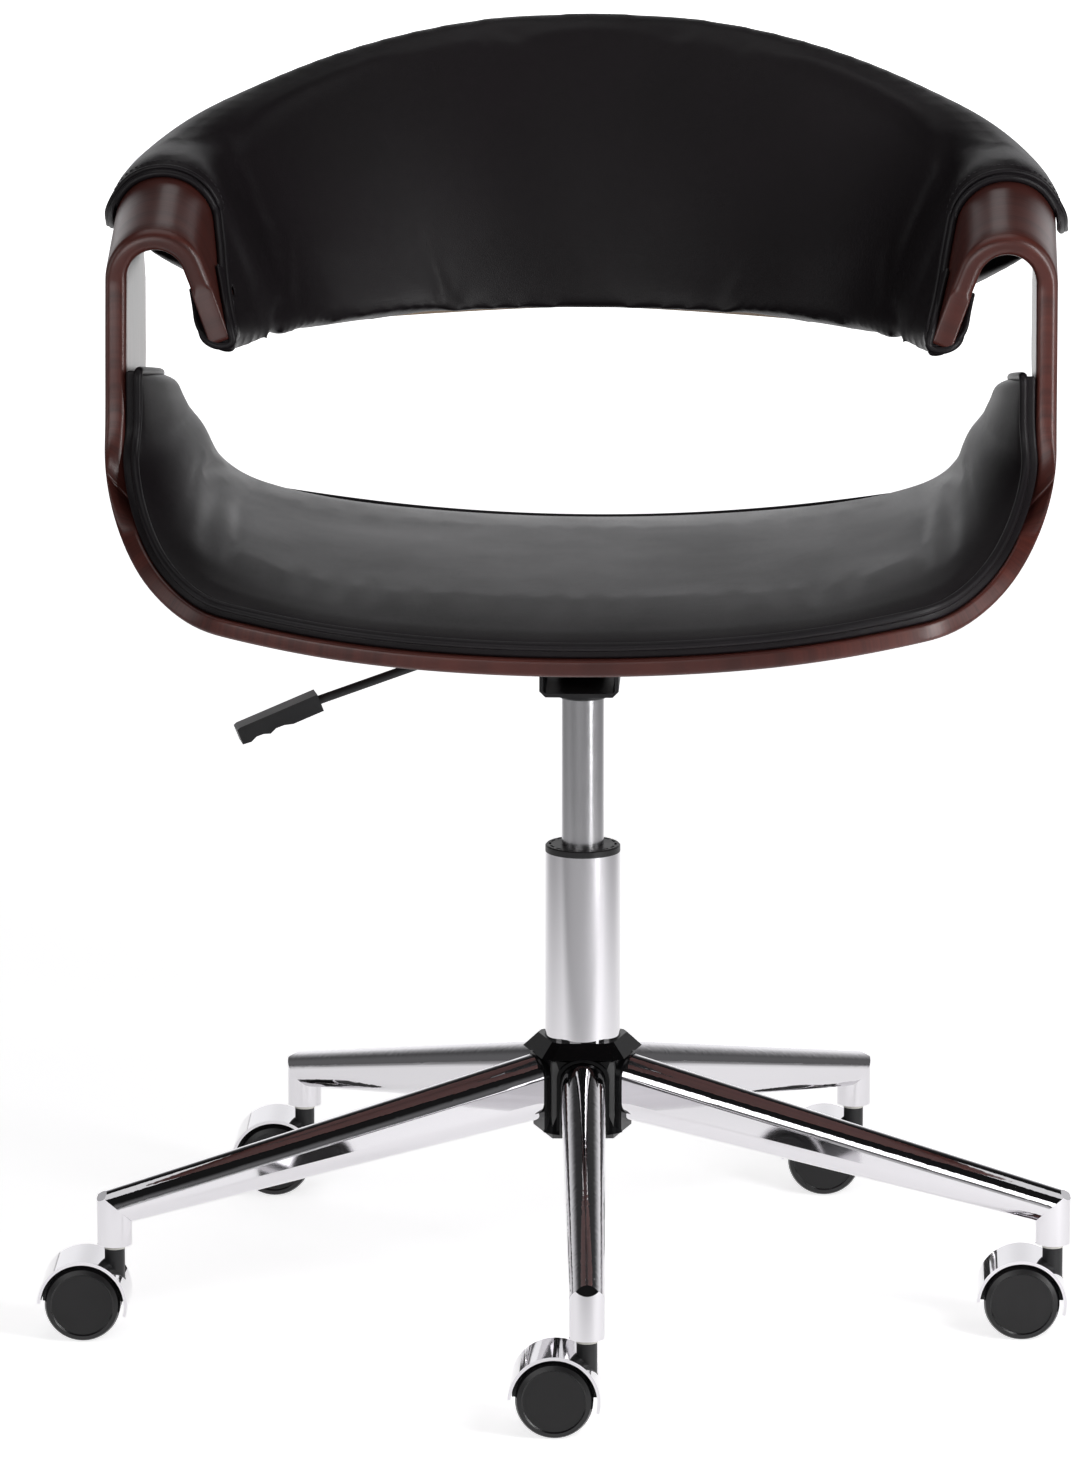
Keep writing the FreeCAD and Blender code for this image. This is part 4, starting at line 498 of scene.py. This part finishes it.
def plain_ply(name):
    """Raw plywood where no one looks: pale veneer with soft grain."""
    material, tree, shader = new_material(name)
    grain = noise(tree, coordinates(tree, (6, 240, 240)), 1.0, 5, 0.6, 0.6).outputs[0]
    tone = ramp(tree, grain, [(0.3, (0.33, 0.20, 0.11)), (0.7, (0.52, 0.36, 0.22))])
    feed(tree, shader, {"Base Color": tone, "Roughness": 0.62, "Normal": bump(tree, grain, 0.2, 0.0003)})
    return material


MATERIALS = {
    "chrome": metal("chrome_plate", (0.68, 0.668, 0.69), 0.035, None, 0.025),
    "hub_steel": moulding("hub_paint", (0.06, 0.06, 0.06), 0.4),
    "gloss_black": moulding("gloss_black_moulding", (0.003, 0.003, 0.0033), 0.16, 1500, 0.04, None, 0.07),
    "black_plastic": moulding("black_moulding", (0.012, 0.012, 0.013), 0.42, 3200, 0.22),
    "satin_steel": metal("ground_steel", (0.48, 0.475, 0.49), 0.20, (900, 900, 12), 0.08),
    "zinc_steel": metal("zinc_plate", (0.58, 0.58, 0.60), 0.28, None, 0.10),
    "nylon": moulding("natural_nylon", (0.62, 0.61, 0.57), 0.42),
    "bump_rubber": moulding("bump_rubber", (0.012, 0.012, 0.012), 0.75, 1800, 0.3),
    "black_steel": moulding("powder_coat", (0.012, 0.012, 0.013), 0.46, 900, 0.35),
    "plain_ply": plain_ply("plain_plywood"),
    "wheel_nylon": moulding("wheel_nylon", (0.0085, 0.0082, 0.0088), 0.62, 1400, 0.30, 0.24),
}
WOOD, EDGE = veneer("walnut_veneer"), ply_edge("lacquered_ply_edge")
LEATHER = leatherette("black_leatherette")
WELT = leatherette("welt_leatherette", (0.0105, 0.0088, 0.0102), 0.40, 0.6)
THREAD = thread("black_thread")

slot_of = {row["node"]: row["material_slot"] for row in frame["record"]["subparts"]}
for node, obj in nodes.items():
    if slot_of[node] in MATERIALS:
        dress(obj, MATERIALS[slot_of[node]])
    else:
        dress(obj, WOOD if slot_of[node] == "walnut_ply" else LEATHER)


# Wood

shell = dress(build_shell(), WOOD, EDGE)
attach(shell, "seat")
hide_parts("seat_shell")
for hand, mirror in (("right", False), ("left", True)):
    arm = dress(build_arm("bent_arm_" + hand, mirror), WOOD, EDGE)
    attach(arm, "seat")
    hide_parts("arm_" + hand)


# Padding


CLOTH_FRAMES, PRESSURE = 20, 3.0
# In metres: how far the padding may swell, the walls between which it does, and the back's remeshing.
PAD_SWELL, BACK_SWELL, THIN_WALL, THICK_WALL = 0.0025, 0.0020, 0.008, 0.016
VOXEL, WELD = 0.004, 0.00002
# In metres: how far the back's lower edge hangs, and where along the chair it starts, is full and ends.
DROP, DROP_HEIGHT = 0.0075, 0.05
DROP_FROM, DROP_FULL, DROP_WANES, DROP_END = 0.105, 0.195, 0.228, 0.250


def apply_modifiers(obj):
    """Puts what the modifiers make into the mesh and removes them."""
    graph = bpy.context.evaluated_depsgraph_get()
    mesh = bpy.data.meshes.new_from_object(obj.evaluated_get(graph))
    obj.modifiers.clear()
    obj.data = mesh


def points_of(mesh):
    """The mesh's points as rows of x, y and z, in metres."""
    flat = np.zeros(len(mesh.vertices) * 3)
    mesh.vertices.foreach_get("co", flat)
    return flat.reshape(-1, 3)


def hold(obj, name, weights):
    """A vertex group from an array of weights."""
    group = obj.vertex_groups.new(name=name)
    for index in np.nonzero(weights > 0.001)[0]:
        group.add([int(index)], float(weights[index]), "REPLACE")


def soften(obj, rounds, group=""):
    soft = obj.modifiers.new("Smooth", "SMOOTH")
    soft.factor, soft.iterations, soft.vertex_group = 0.5, rounds, group


def inflate(obj, pins, cap):
    """Lets air pressure swell the padding as cloth; held points stay and no point moves past the cap."""
    hold(obj, "held", pins)
    start = points_of(obj.data)
    cloth = obj.modifiers.new("Cloth", "CLOTH")
    cloth.settings.quality = 5
    cloth.settings.mass = 0.25
    cloth.settings.use_pressure = True
    cloth.settings.uniform_pressure_force = PRESSURE
    cloth.settings.tension_stiffness = 18
    cloth.settings.compression_stiffness = 18
    cloth.settings.shear_stiffness = 8
    cloth.settings.bending_stiffness = 0.6
    cloth.settings.vertex_group_mass = "held"
    cloth.settings.effector_weights.gravity = 0
    cloth.collision_settings.use_collision = False
    cloth.collision_settings.use_self_collision = False
    cloth.point_cache.frame_start, cloth.point_cache.frame_end = 1, CLOTH_FRAMES
    for number in range(1, CLOTH_FRAMES + 1):
        scene.frame_set(number)
    graph = bpy.context.evaluated_depsgraph_get()
    moved = points_of(obj.evaluated_get(graph).to_mesh())
    obj.modifiers.remove(cloth)
    scene.frame_set(1)
    step = moved - start
    length = np.linalg.norm(step, axis=1, keepdims=True)
    step *= np.minimum(1, cap / np.maximum(length, 1e-9))
    step *= (1 - np.clip(pins, 0, 1))[:, None]
    obj.data.vertices.foreach_set("co", (start + step).ravel())
    obj.data.update()
    return float(np.abs(step).max())


def subdivide(obj):
    modifier = obj.modifiers.new("Subdivision", "SUBSURF")
    modifier.levels = modifier.render_levels = 1
    modifier.subdivision_type = "CATMULL_CLARK"
    apply_modifiers(obj)


PAD_EDGE, PAD_CROWN, PAD_INSET, PAD_TOP, PAD_DROP = 8.0, 15.0, 3.0, 640.0, 35.0
PAD_GAP, SEAM_DEPTH, SEAM_WIDTH = 0.3, 1.6, 9.0
SIDE_FROM, SIDE_END = 190.0, run_at(545)
END_ROUND, END_RISE, END_RISE_WIDTH = 22.0, 6.5, 16.0
WELT_RADIUS, WELT_SINK = 2.9, 0.4
HELD, FREE, HEM = 5.0, 30.0, 0.45
PLUG_DEPTH, PLUG_SINK, PLUG_RADIUS = 71.0, -3.2, 5.0
CUP_RADIUS, CUP_FLATNESS, STITCH_LIFT = 11.5, 0.27, 0.12
pad_profile = spline([-0.05, 0.00, 0.05, 0.18, 0.50, 0.82, 0.95, 1.00, 1.05],
                     [-0.2, 0.0, 0.42, 0.80, 1.0, 0.80, 0.40, 0.0, -0.2])
side_profile = spline([-0.05, 0.00, 0.05, 0.15, 0.30, 0.50, 0.68, 0.84, 0.94, 1.00, 1.05],
                      [-0.2, 0.0, 0.20, 0.50, 0.79, 0.97, 1.0, 0.82, 0.46, 0.0, -0.3])
pad_crown = spline([0, 120, 190, 240, run_at(520), run_at(550), run_at(578), run_at(604), run_at(622),
                    run_at(640)],
                   [0.84, 0.78, 0.88, 1.45, 2.04, 2.30, 2.06, 1.38, 1.08, 0.76])


def pad_place(across, along):
    """Where a spot lies: its run, and how far it is from the pad's long edges and from its ends."""
    half = run_at(PAD_TOP - PAD_DROP * along)
    run = across * half
    length = float(rear_of(run)) - float(front_of(run))
    return run, min(along, 1 - along) * length, (1 - abs(across)) * half


def pad_spot(across, along, high):
    """A point of the pad: shares across (-1 to 1) and along (0 to 1), and height over the wood."""
    run = pad_place(across, along)[0]
    x, z, angle = (float(v) for v in bend_line(run))
    front, rear = float(front_of(run)) + PAD_INSET, float(rear_of(run)) - PAD_INSET
    deep = SHELL + PAD_GAP + (PLY - SHELL) * float(smooth_step(z, JOINT, JOINT + THICKEN)) + high
    return (x - math.sin(angle) * deep, front + along * (rear - front), z + math.cos(angle) * deep)


def end_rise(along):
    """How much farther from the wood the pad's ends stand in their middle."""
    return END_RISE * math.sin(math.pi * along)


def pad_height(across, along):
    """How high the pad's cover stands over the wood, with the sunk seam beside its welt."""
    run, edge, end = pad_place(across, along)
    side = float(smooth_step(abs(run), SIDE_FROM, SIDE_END))
    profile = float(pad_profile(along)) * (1 - side) + float(side_profile(along)) * side
    crown = PAD_CROWN * float(pad_crown(abs(run))) * profile
    short = 1 - min(end / END_ROUND, 1)
    crown *= math.sqrt(max(1 - short * short, 0.0))
    rise = end_rise(along) * (1 - float(smooth_step(end, 0, END_RISE_WIDTH)))
    seam = SEAM_DEPTH * float(smooth_step(min(edge, end), 0, SEAM_WIDTH))
    return PAD_EDGE - SEAM_DEPTH + rise + crown + seam


def build_pad():
    """The seat's pad, the weights that hold it while it swells, and the spots along its outline."""
    columns, rows = 168, 84
    # The lines stand closer together towards the ends and the long edges.
    across = np.linspace(-1, 1, columns + 1)
    shares = 0.45 * (np.sin(across * math.pi / 2 * 0.90) / math.sin(math.pi / 2 * 0.90)) + 0.55 * across
    depths = 1 - 2 * np.linspace(0, 1, rows + 1)
    depths = 0.5 - 0.5 * (0.6 * depths + 0.4 * np.sin(depths * math.pi / 2))
    points, faces = [], []
    top = np.zeros((columns + 1, rows + 1), int)
    low = np.zeros((columns + 1, rows + 1), int)
    for i, a in enumerate(shares):
        for j, d in enumerate(depths):
            top[i, j] = len(points)
            points.append(pad_spot(a, d, pad_height(a, d)))
            low[i, j] = len(points)
            points.append(pad_spot(a, d, 0.0))
    for i in range(columns):
        for j in range(rows):
            faces.append((top[i, j], top[i + 1, j], top[i + 1, j + 1], top[i, j + 1]))
            faces.append((low[i, j], low[i, j + 1], low[i + 1, j + 1], low[i + 1, j]))
    ring = [(i, 0) for i in range(columns)] + [(columns, j) for j in range(rows)]
    ring += [(i, rows) for i in range(columns, 0, -1)] + [(0, j) for j in range(rows, 0, -1)]
    middle = {}
    for i, j in ring:
        middle[i, j] = len(points)
        points.append(pad_spot(shares[i], depths[j], PAD_EDGE * HEM))
    for k, spot in enumerate(ring):
        after = ring[(k + 1) % len(ring)]
        faces.append((low[spot], low[after], middle[after], middle[spot]))
        faces.append((middle[spot], middle[after], top[after], top[spot]))
    pad = make_mesh("seat_cushion", points, faces)
    pins = np.ones(len(points))
    for i, a in enumerate(shares):
        for j, d in enumerate(depths):
            pins[top[i, j]] = 1 - float(smooth_step(min(pad_place(a, d)[1:]), HELD, FREE))
    outline = [(shares[i], depths[j]) for i, j in ring]
    return pad, pins, outline


def tube(name, path, radius, closed=True, sides=12, squash=1.0, wide=None):
    """A cord of leatherette round a line of points; a squashed one is widest in the direction given."""
    path = np.asarray(path, float)
    count = len(path)
    if closed:
        ahead = np.roll(path, -1, 0) - np.roll(path, 1, 0)
    else:
        ahead = np.gradient(path, axis=0)
    ahead /= np.linalg.norm(ahead, axis=1, keepdims=True)
    side = np.cross(ahead[0], (0, 0, 1)) if wide is None else np.array(wide, float)
    if np.linalg.norm(side) < 0.1:
        side = np.cross(ahead[0], (0, 1, 0))
    points, faces = [], []
    for k in range(count):
        side = side - ahead[k] * side.dot(ahead[k])
        side /= np.linalg.norm(side)
        up = np.cross(side, ahead[k])
        for s in range(sides):
            a = 2 * math.pi * s / sides
            points.append(path[k] + radius * (math.cos(a) * side + math.sin(a) * squash * up))
    for k in range(count if closed else count - 1):
        for s in range(sides):
            a, b = k * sides + s, k * sides + (s + 1) % sides
            c, d = (b + sides) % len(points), (a + sides) % len(points)
            faces.append((a, d, c, b))
    if not closed:
        faces += [tuple(range(sides)), tuple(range(len(points) - 1, len(points) - sides - 1, -1))]
    return make_mesh(name, points, faces)


def even(path, gap, closed=True):
    """The same line with its points at even distances."""
    path = np.asarray(path, float)
    if closed:
        path = np.vstack([path, path[:1]])
    steps = np.linalg.norm(np.diff(path, axis=0), axis=1)
    at = np.concatenate([[0], np.cumsum(steps)])
    count = max(int(round(at[-1] / gap)), 2)
    want = np.linspace(0, at[-1], count + 1)
    if closed:
        want = want[:-1]
    return np.stack([np.interp(want, at, path[:, k]) for k in range(3)], 1)


def relax(path, rounds):
    """A closed line with its kinks evened out."""
    for _ in range(rounds):
        path = 0.5 * path + 0.25 * (np.roll(path, 1, 0) + np.roll(path, -1, 0))
    return path


pad, pad_pins, pad_outline = build_pad()
moved = inflate(pad, pad_pins, PAD_SWELL)
print("seat cushion moved %.1f mm" % (moved * 1000))
subdivide(pad)
dress(pad, LEATHER)
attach(pad, "seat")
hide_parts("seat_pad")

line = [pad_spot(a, d, PAD_EDGE - WELT_SINK + end_rise(d)) for a, d in pad_outline]
line = relax(even(line, 2.5), 6)
welt = dress(tube("seat_welt", line, WELT_RADIUS), WELT)
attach(welt, "seat")


def arch_spot(turn, depth, out):
    """A point over the arm's arch: angle round it, depth, and distance from the wood."""
    lift = (depth - ARM_FRONT) * SLOPE
    return (HALF - ARCH_R + (ARCH_R + out) * math.cos(turn), depth,
            ARCH_Z + lift + (ARCH_R + out) * math.sin(turn))


def flip(path, hand):
    """The line on the right for 1, or its mirror image for -1."""
    path = np.array(path, float)
    path[:, 0] *= hand
    return path


def hang_edge(back):
    """Draws the lower edge of the back down where it runs into the sleeves, and evens it."""
    mesh = back.data
    points = points_of(mesh)
    far = np.abs(points[:, 0])
    columns = (far / VOXEL).astype(int)
    lowest = np.full(columns.max() + 1, 9.0)
    np.minimum.at(lowest, columns, points[:, 2])
    lowest = np.convolve(np.pad(lowest, 3, mode="edge"), np.ones(7) / 7, mode="valid")
    above = points[:, 2] - np.interp(far / VOXEL - 0.5, np.arange(len(lowest)), lowest)
    share = smooth_step(far, DROP_FROM, DROP_FULL) * (1 - smooth_step(far, DROP_WANES, DROP_END))
    share *= 1 - smooth_step(above, 0, DROP_HEIGHT)
    points[:, 2] -= DROP * share
    mesh.vertices.foreach_set("co", points.ravel())
    mesh.update()
    hold(back, "low_edge", np.where(share > 0.01, np.minimum(share * 1.6, 1), 0))
    soften(back, 30, "low_edge")
    apply_modifiers(back)


def back_from_frame():
    """The back's padding as one even skin over the form that the frame gives."""
    # The core goes in too, and a plug over each arm's rear end, so that the skin has no thin walls.
    meshes = [nodes["back_upholstery"].data, nodes["back_core"].data]
    plugs = []
    for hand in (1, -1):
        path = [arch_spot(math.radians(turn), PLUG_DEPTH, PLUG_SINK) for turn in range(10, 131, 6)]
        plugs.append(tube("plug", flip(path, hand), PLUG_RADIUS, False, 10))
    points, faces = [], []
    for mesh in meshes + [plug.data for plug in plugs]:
        faces += [tuple(len(points) + v for v in face.vertices) for face in mesh.polygons]
        points += [tuple(v * 1000) for v in points_of(mesh)]
    for plug in plugs:
        bpy.data.objects.remove(plug)
    back = make_mesh("back_cushion", points, faces)
    back.modifiers.new("Weld", "WELD").merge_threshold = WELD
    skin = back.modifiers.new("Remesh", "REMESH")
    skin.mode, skin.voxel_size = "VOXEL", VOXEL
    soften(back, 6)
    apply_modifiers(back)
    back.data.polygons.foreach_set("use_smooth", [True] * len(back.data.polygons))
    hang_edge(back)
    return back


def search_tree(mesh):
    return BVHTree.FromPolygons([v.co for v in mesh.vertices], [tuple(p.vertices) for p in mesh.polygons])


def wall_at(mesh, reach=0.1, skip=0.0004):
    """For each point, how thick the padding is behind it, in metres."""
    tree = search_tree(mesh)
    walls = np.full(len(mesh.vertices), reach)
    for vertex in mesh.vertices:
        inward = -vertex.normal
        hit = tree.ray_cast(vertex.co + inward * skip, inward, reach)
        if hit[0] is not None:
            walls[vertex.index] = hit[3] + skip
    return walls


back = back_from_frame()
back_pins = 1 - smooth_step(wall_at(back.data), THIN_WALL, THICK_WALL)
moved = inflate(back, back_pins, BACK_SWELL)
print("back cushion moved %.1f mm, %d points" % (moved * 1000, len(back.data.vertices)))
soften(back, 4)
apply_modifiers(back)
subdivide(back)
dress(back, LEATHER)
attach(back, "seat")
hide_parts("back_upholstery")


def leg_spot(travel, depth, out, across=0.0):
    """A point beside the arm's inner leg: travel down it, depth, distance from its inner face."""
    x, y, z = arch_spot(math.pi - TILT, depth, out)
    return (x - math.sin(TILT) * travel + across * math.cos(TILT), y,
            z - math.cos(TILT) * travel - across * math.sin(TILT))


def rim_line(out, back_by):
    """The sleeve's rim: up the outside, over the arch, down the inner side and round the leg's end."""
    line = [(HALF + out + 1.8, 63 + back_by, 714.0), (HALF + out + 1.2, 50 + back_by, 719.5),
            (HALF + out + 0.5, 40 + back_by, 727.0)]
    for turn, depth in ((20, 34), (45, 31.5), (70, 30), (90, 29), (115, 28.5), (138, 28)):
        line.append(arch_spot(math.radians(turn), depth + back_by, out))
    for travel, depth in ((2, 27), (9, 16), (15, 2), (21, -16), (27, -33), (34, -48), (42, -59.5)):
        line.append(leg_spot(travel, depth + back_by * 0.8, out))
    for travel, depth, across in ((48, -63, -0.8 * out), (53.6, -64, -0.2), (54.0, -64, 4.5),
                                  (51.4, -63.5, 11.0), (46.4, -61, 16.0), (39, -52, 16.6)):
        line.append(leg_spot(travel, depth + back_by * 0.5, 0, across))
    return line


def cup_line():
    """The middle of the padded band that closes round the inner leg's end."""
    return [leg_spot(travel, depth, 0, across) for travel, depth, across in (
        (26, -20, -1.0), (36, -36, -1.4), (46, -49, -1.8), (52.5, -53, -1.6), (55.8, -53, 1.6),
        (54.0, -53, 7.0), (51.0, -52, 12.6), (46.4, -50, 16.2), (38, -44, 16.4), (28, -34, 15.6))]


def through(points, gap):
    """A smooth line through control points."""
    points = np.asarray(points, float)
    at = np.concatenate([[0], np.cumsum(np.linalg.norm(np.diff(points, axis=0), axis=1))])
    count = int(at[-1] / gap)
    want = np.linspace(0, at[-1], count + 1)
    return np.stack([spline(at, points[:, k])(want) for k in range(3)], 1)


def drop_on(path, mesh, lift):
    """Moves a line onto a surface, a little proud of it."""
    tree = search_tree(mesh)
    placed = []
    for spot in path:
        hit, normal = tree.find_nearest(Vector(spot) * 0.001)[:2]
        placed.append(np.array(hit) * 1000 + np.array(normal) * lift)
    return np.array(placed)


def stitches(name, path, pitch=4.2, length=3.0, radius=0.34):
    """A row of sewn stitches: short sunk-ended threads along a line."""
    step, sides, rings = 8, 6, 5
    path = even(path, pitch / step, False)
    points, faces = [], []
    for start in range(0, len(path) - step, step):
        count = int(step * length / pitch)
        for r in range(rings):
            t = r / (rings - 1)
            k = start + t * count
            low, high = int(k), min(int(k) + 1, len(path) - 1)
            centre = path[low] + (k - low) * (path[high] - path[low])
            ahead = path[min(high + 1, len(path) - 1)] - path[max(low - 1, 0)]
            ahead /= np.linalg.norm(ahead)
            side = np.cross(ahead, (0.3, 0.2, 0.93))
            side /= np.linalg.norm(side)
            up = np.cross(side, ahead)
            size = radius * math.sqrt(max(1 - (2 * t - 1) ** 2 * 0.93, 0.05))
            for s in range(sides):
                a = 2 * math.pi * s / sides
                points.append(centre + size * (math.cos(a) * side + math.sin(a) * up))
        base = len(points) - rings * sides
        for r in range(rings - 1):
            for s in range(sides):
                a, b = base + r * sides + s, base + r * sides + (s + 1) % sides
                faces.append((a, a + sides, b + sides, b))
        last = base + (rings - 1) * sides
        faces += [tuple(range(base, base + sides)), tuple(range(last + sides - 1, last - 1, -1))]
    return make_mesh(name, points, faces)


for hand, word in ((1, "right"), (-1, "left")):
    # A welt on the rim, a thinner piping behind it, the band on the leg's end, and the row of stitches.
    for name, out, back_by, radius in (("sleeve_welt_", 2.4, -1.0, 2.5), ("sleeve_piping_", 5.4, 2.4, 1.7)):
        rim = through(rim_line(out, back_by), 1.6)
        cord = dress(tube(name + word, flip(rim, hand), radius, False), WELT)
        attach(cord, "seat")
    band = flip(through(cup_line(), 1.6), hand)
    cup = dress(tube("sleeve_cup_" + word, band, CUP_RADIUS, False, 20, CUP_FLATNESS, (0, 1, 0)), LEATHER)
    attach(cup, "seat")
    seam = through(rim_line(8.0, 8.5)[:14], 1.0)
    seam = drop_on(flip(seam, hand), back.data, STITCH_LIFT)
    row = dress(stitches("sleeve_stitches_" + word, seam), THREAD)
    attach(row, "seat")


# Floor, light and camera


def build_floor():
    """A pale floor with painted light: its emission glows behind and under the chair, standing in for the
    studio light that falls there and lightening the shadows, and fades towards the sides and the front.
    """
    material, tree, shader = new_material("pale_floor_painted_light")
    where = coordinates(tree)
    tone = ramp(tree, noise(tree, where, 0.6, 2).outputs[0],
                [(0.3, (0.80, 0.798, 0.81)), (0.7, (0.81, 0.808, 0.82))])
    x, y, _ = split(tree, where)
    # Painted light: the emission is a pool of light painted on the floor, brightest behind and under the chair
    # and fading towards the sides and the front.
    across = fade(tree, maths(tree, "ABSOLUTE", x), 0.50, 1.5, 1.0, 0.18)
    along = fade(tree, y, -0.80, -0.38, 0.10, 0.72)
    behind = fade(tree, y, 0.3, 6.0, 1.0, 2.4)
    painted_floor_light = maths(tree, "MULTIPLY", maths(tree, "MULTIPLY", across, along), behind)
    feed(tree, shader, {"Base Color": tone, "Roughness": 0.75, "Specular IOR Level": 0.2,
                        "Emission Color": (1.0, 0.998, 1.0, 1), "Emission Strength": painted_floor_light})
    corners, reach = 64, 30000
    angles = np.linspace(0, 2 * math.pi, corners + 1)[:-1]
    ring = [(reach * math.cos(a), reach * math.sin(a), 0) for a in angles]
    floor = dress(make_mesh("studio_floor", ring, [tuple(range(corners))], smooth=False), material)


def area_light(name, spot, target, width, height, power):
    """A soft light of a width and height in metres, which the camera doesn't see."""
    data = bpy.data.lights.new(name, "AREA")
    data.shape, data.size, data.size_y, data.energy = "RECTANGLE", width, height, power
    light = bpy.data.objects.new(name, data)
    scene.collection.objects.link(light)
    light.location = spot
    aim = Vector(target) - Vector(spot)
    light.rotation_euler = aim.to_track_quat("-Z", "Y").to_euler()
    light.visible_camera = False


def build_world():
    """A dim studio with a pale band low round it, brightest behind the chair."""
    world = bpy.data.worlds.new("studio")
    scene.world = world
    world.use_nodes = True
    tree = world.node_tree
    tree.nodes.clear()
    _, y, z = split(tree, texture_of(tree, "Generated"))
    level = maths(tree, "MULTIPLY", fade(tree, y, 0.62, 0.97, 0.14, 1.1), fade(tree, z, 0.20, 0.52, 1.0, 0.08))
    light = add(tree, "ShaderNodeBackground", {"Color": (0.985, 0.985, 1.0, 1), "Strength": level})
    out = tree.nodes.new("ShaderNodeOutputWorld")
    tree.links.new(light.outputs[0], out.inputs["Surface"])


def build_camera():
    """The photograph's camera: focal length in pixels of its height, yaw and pitch in radians."""
    focal, height, sensor = 9543.7, 1458, 36.0
    yaw, pitch = 0.03398, 0.21748
    data = bpy.data.cameras.new("camera")
    data.sensor_fit, data.sensor_width = "AUTO", sensor
    data.lens = focal / height * sensor
    data.clip_start, data.clip_end = 0.1, 200
    camera = bpy.data.objects.new("camera", data)
    scene.collection.objects.link(camera)
    ahead = Vector((-math.sin(yaw) * math.cos(pitch), math.cos(yaw) * math.cos(pitch), -math.sin(pitch)))
    right = Vector((math.cos(yaw), math.sin(yaw), 0))
    up = right.cross(ahead)
    turn = Matrix((right, up, -ahead)).transposed().to_4x4()
    camera.matrix_world = Matrix.Translation((0.18175, -6.1859, 1.7547)) @ turn
    scene.camera = camera


build_floor()
build_world()
# Each light's place, what it points at, its width and height in metres, and its power in watts.
for name, spot, target, width, height, power in (
        ("top_softbox", (-0.3, 0.1, 2.7), (0, 0.05, 0), 1.8, 1.8, 9),
        ("back_softbox", (-0.1, 2.6, 2.7), (0, 0.1, 0.6), 0.8, 0.5, 1.8),
        ("front_softbox", (-1.85, -4.8, 1.9), (0, 0, 0.7), 3.2, 2.2, 62),
        ("left_softbox", (-2.6, -0.6, 1.4), (0, 0, 0.6), 1.0, 1.8, 7),
        ("right_softbox", (2.6, -0.4, 1.4), (0, 0, 0.6), 1.0, 1.8, 10),
        ("right_strip", (1.05, -0.95, 0.85), (0, 0, 0.4), 0.22, 1.6, 14)):
    area_light(name, spot, target, width, height, power)
build_camera()
scene.view_settings.view_transform = "Standard"
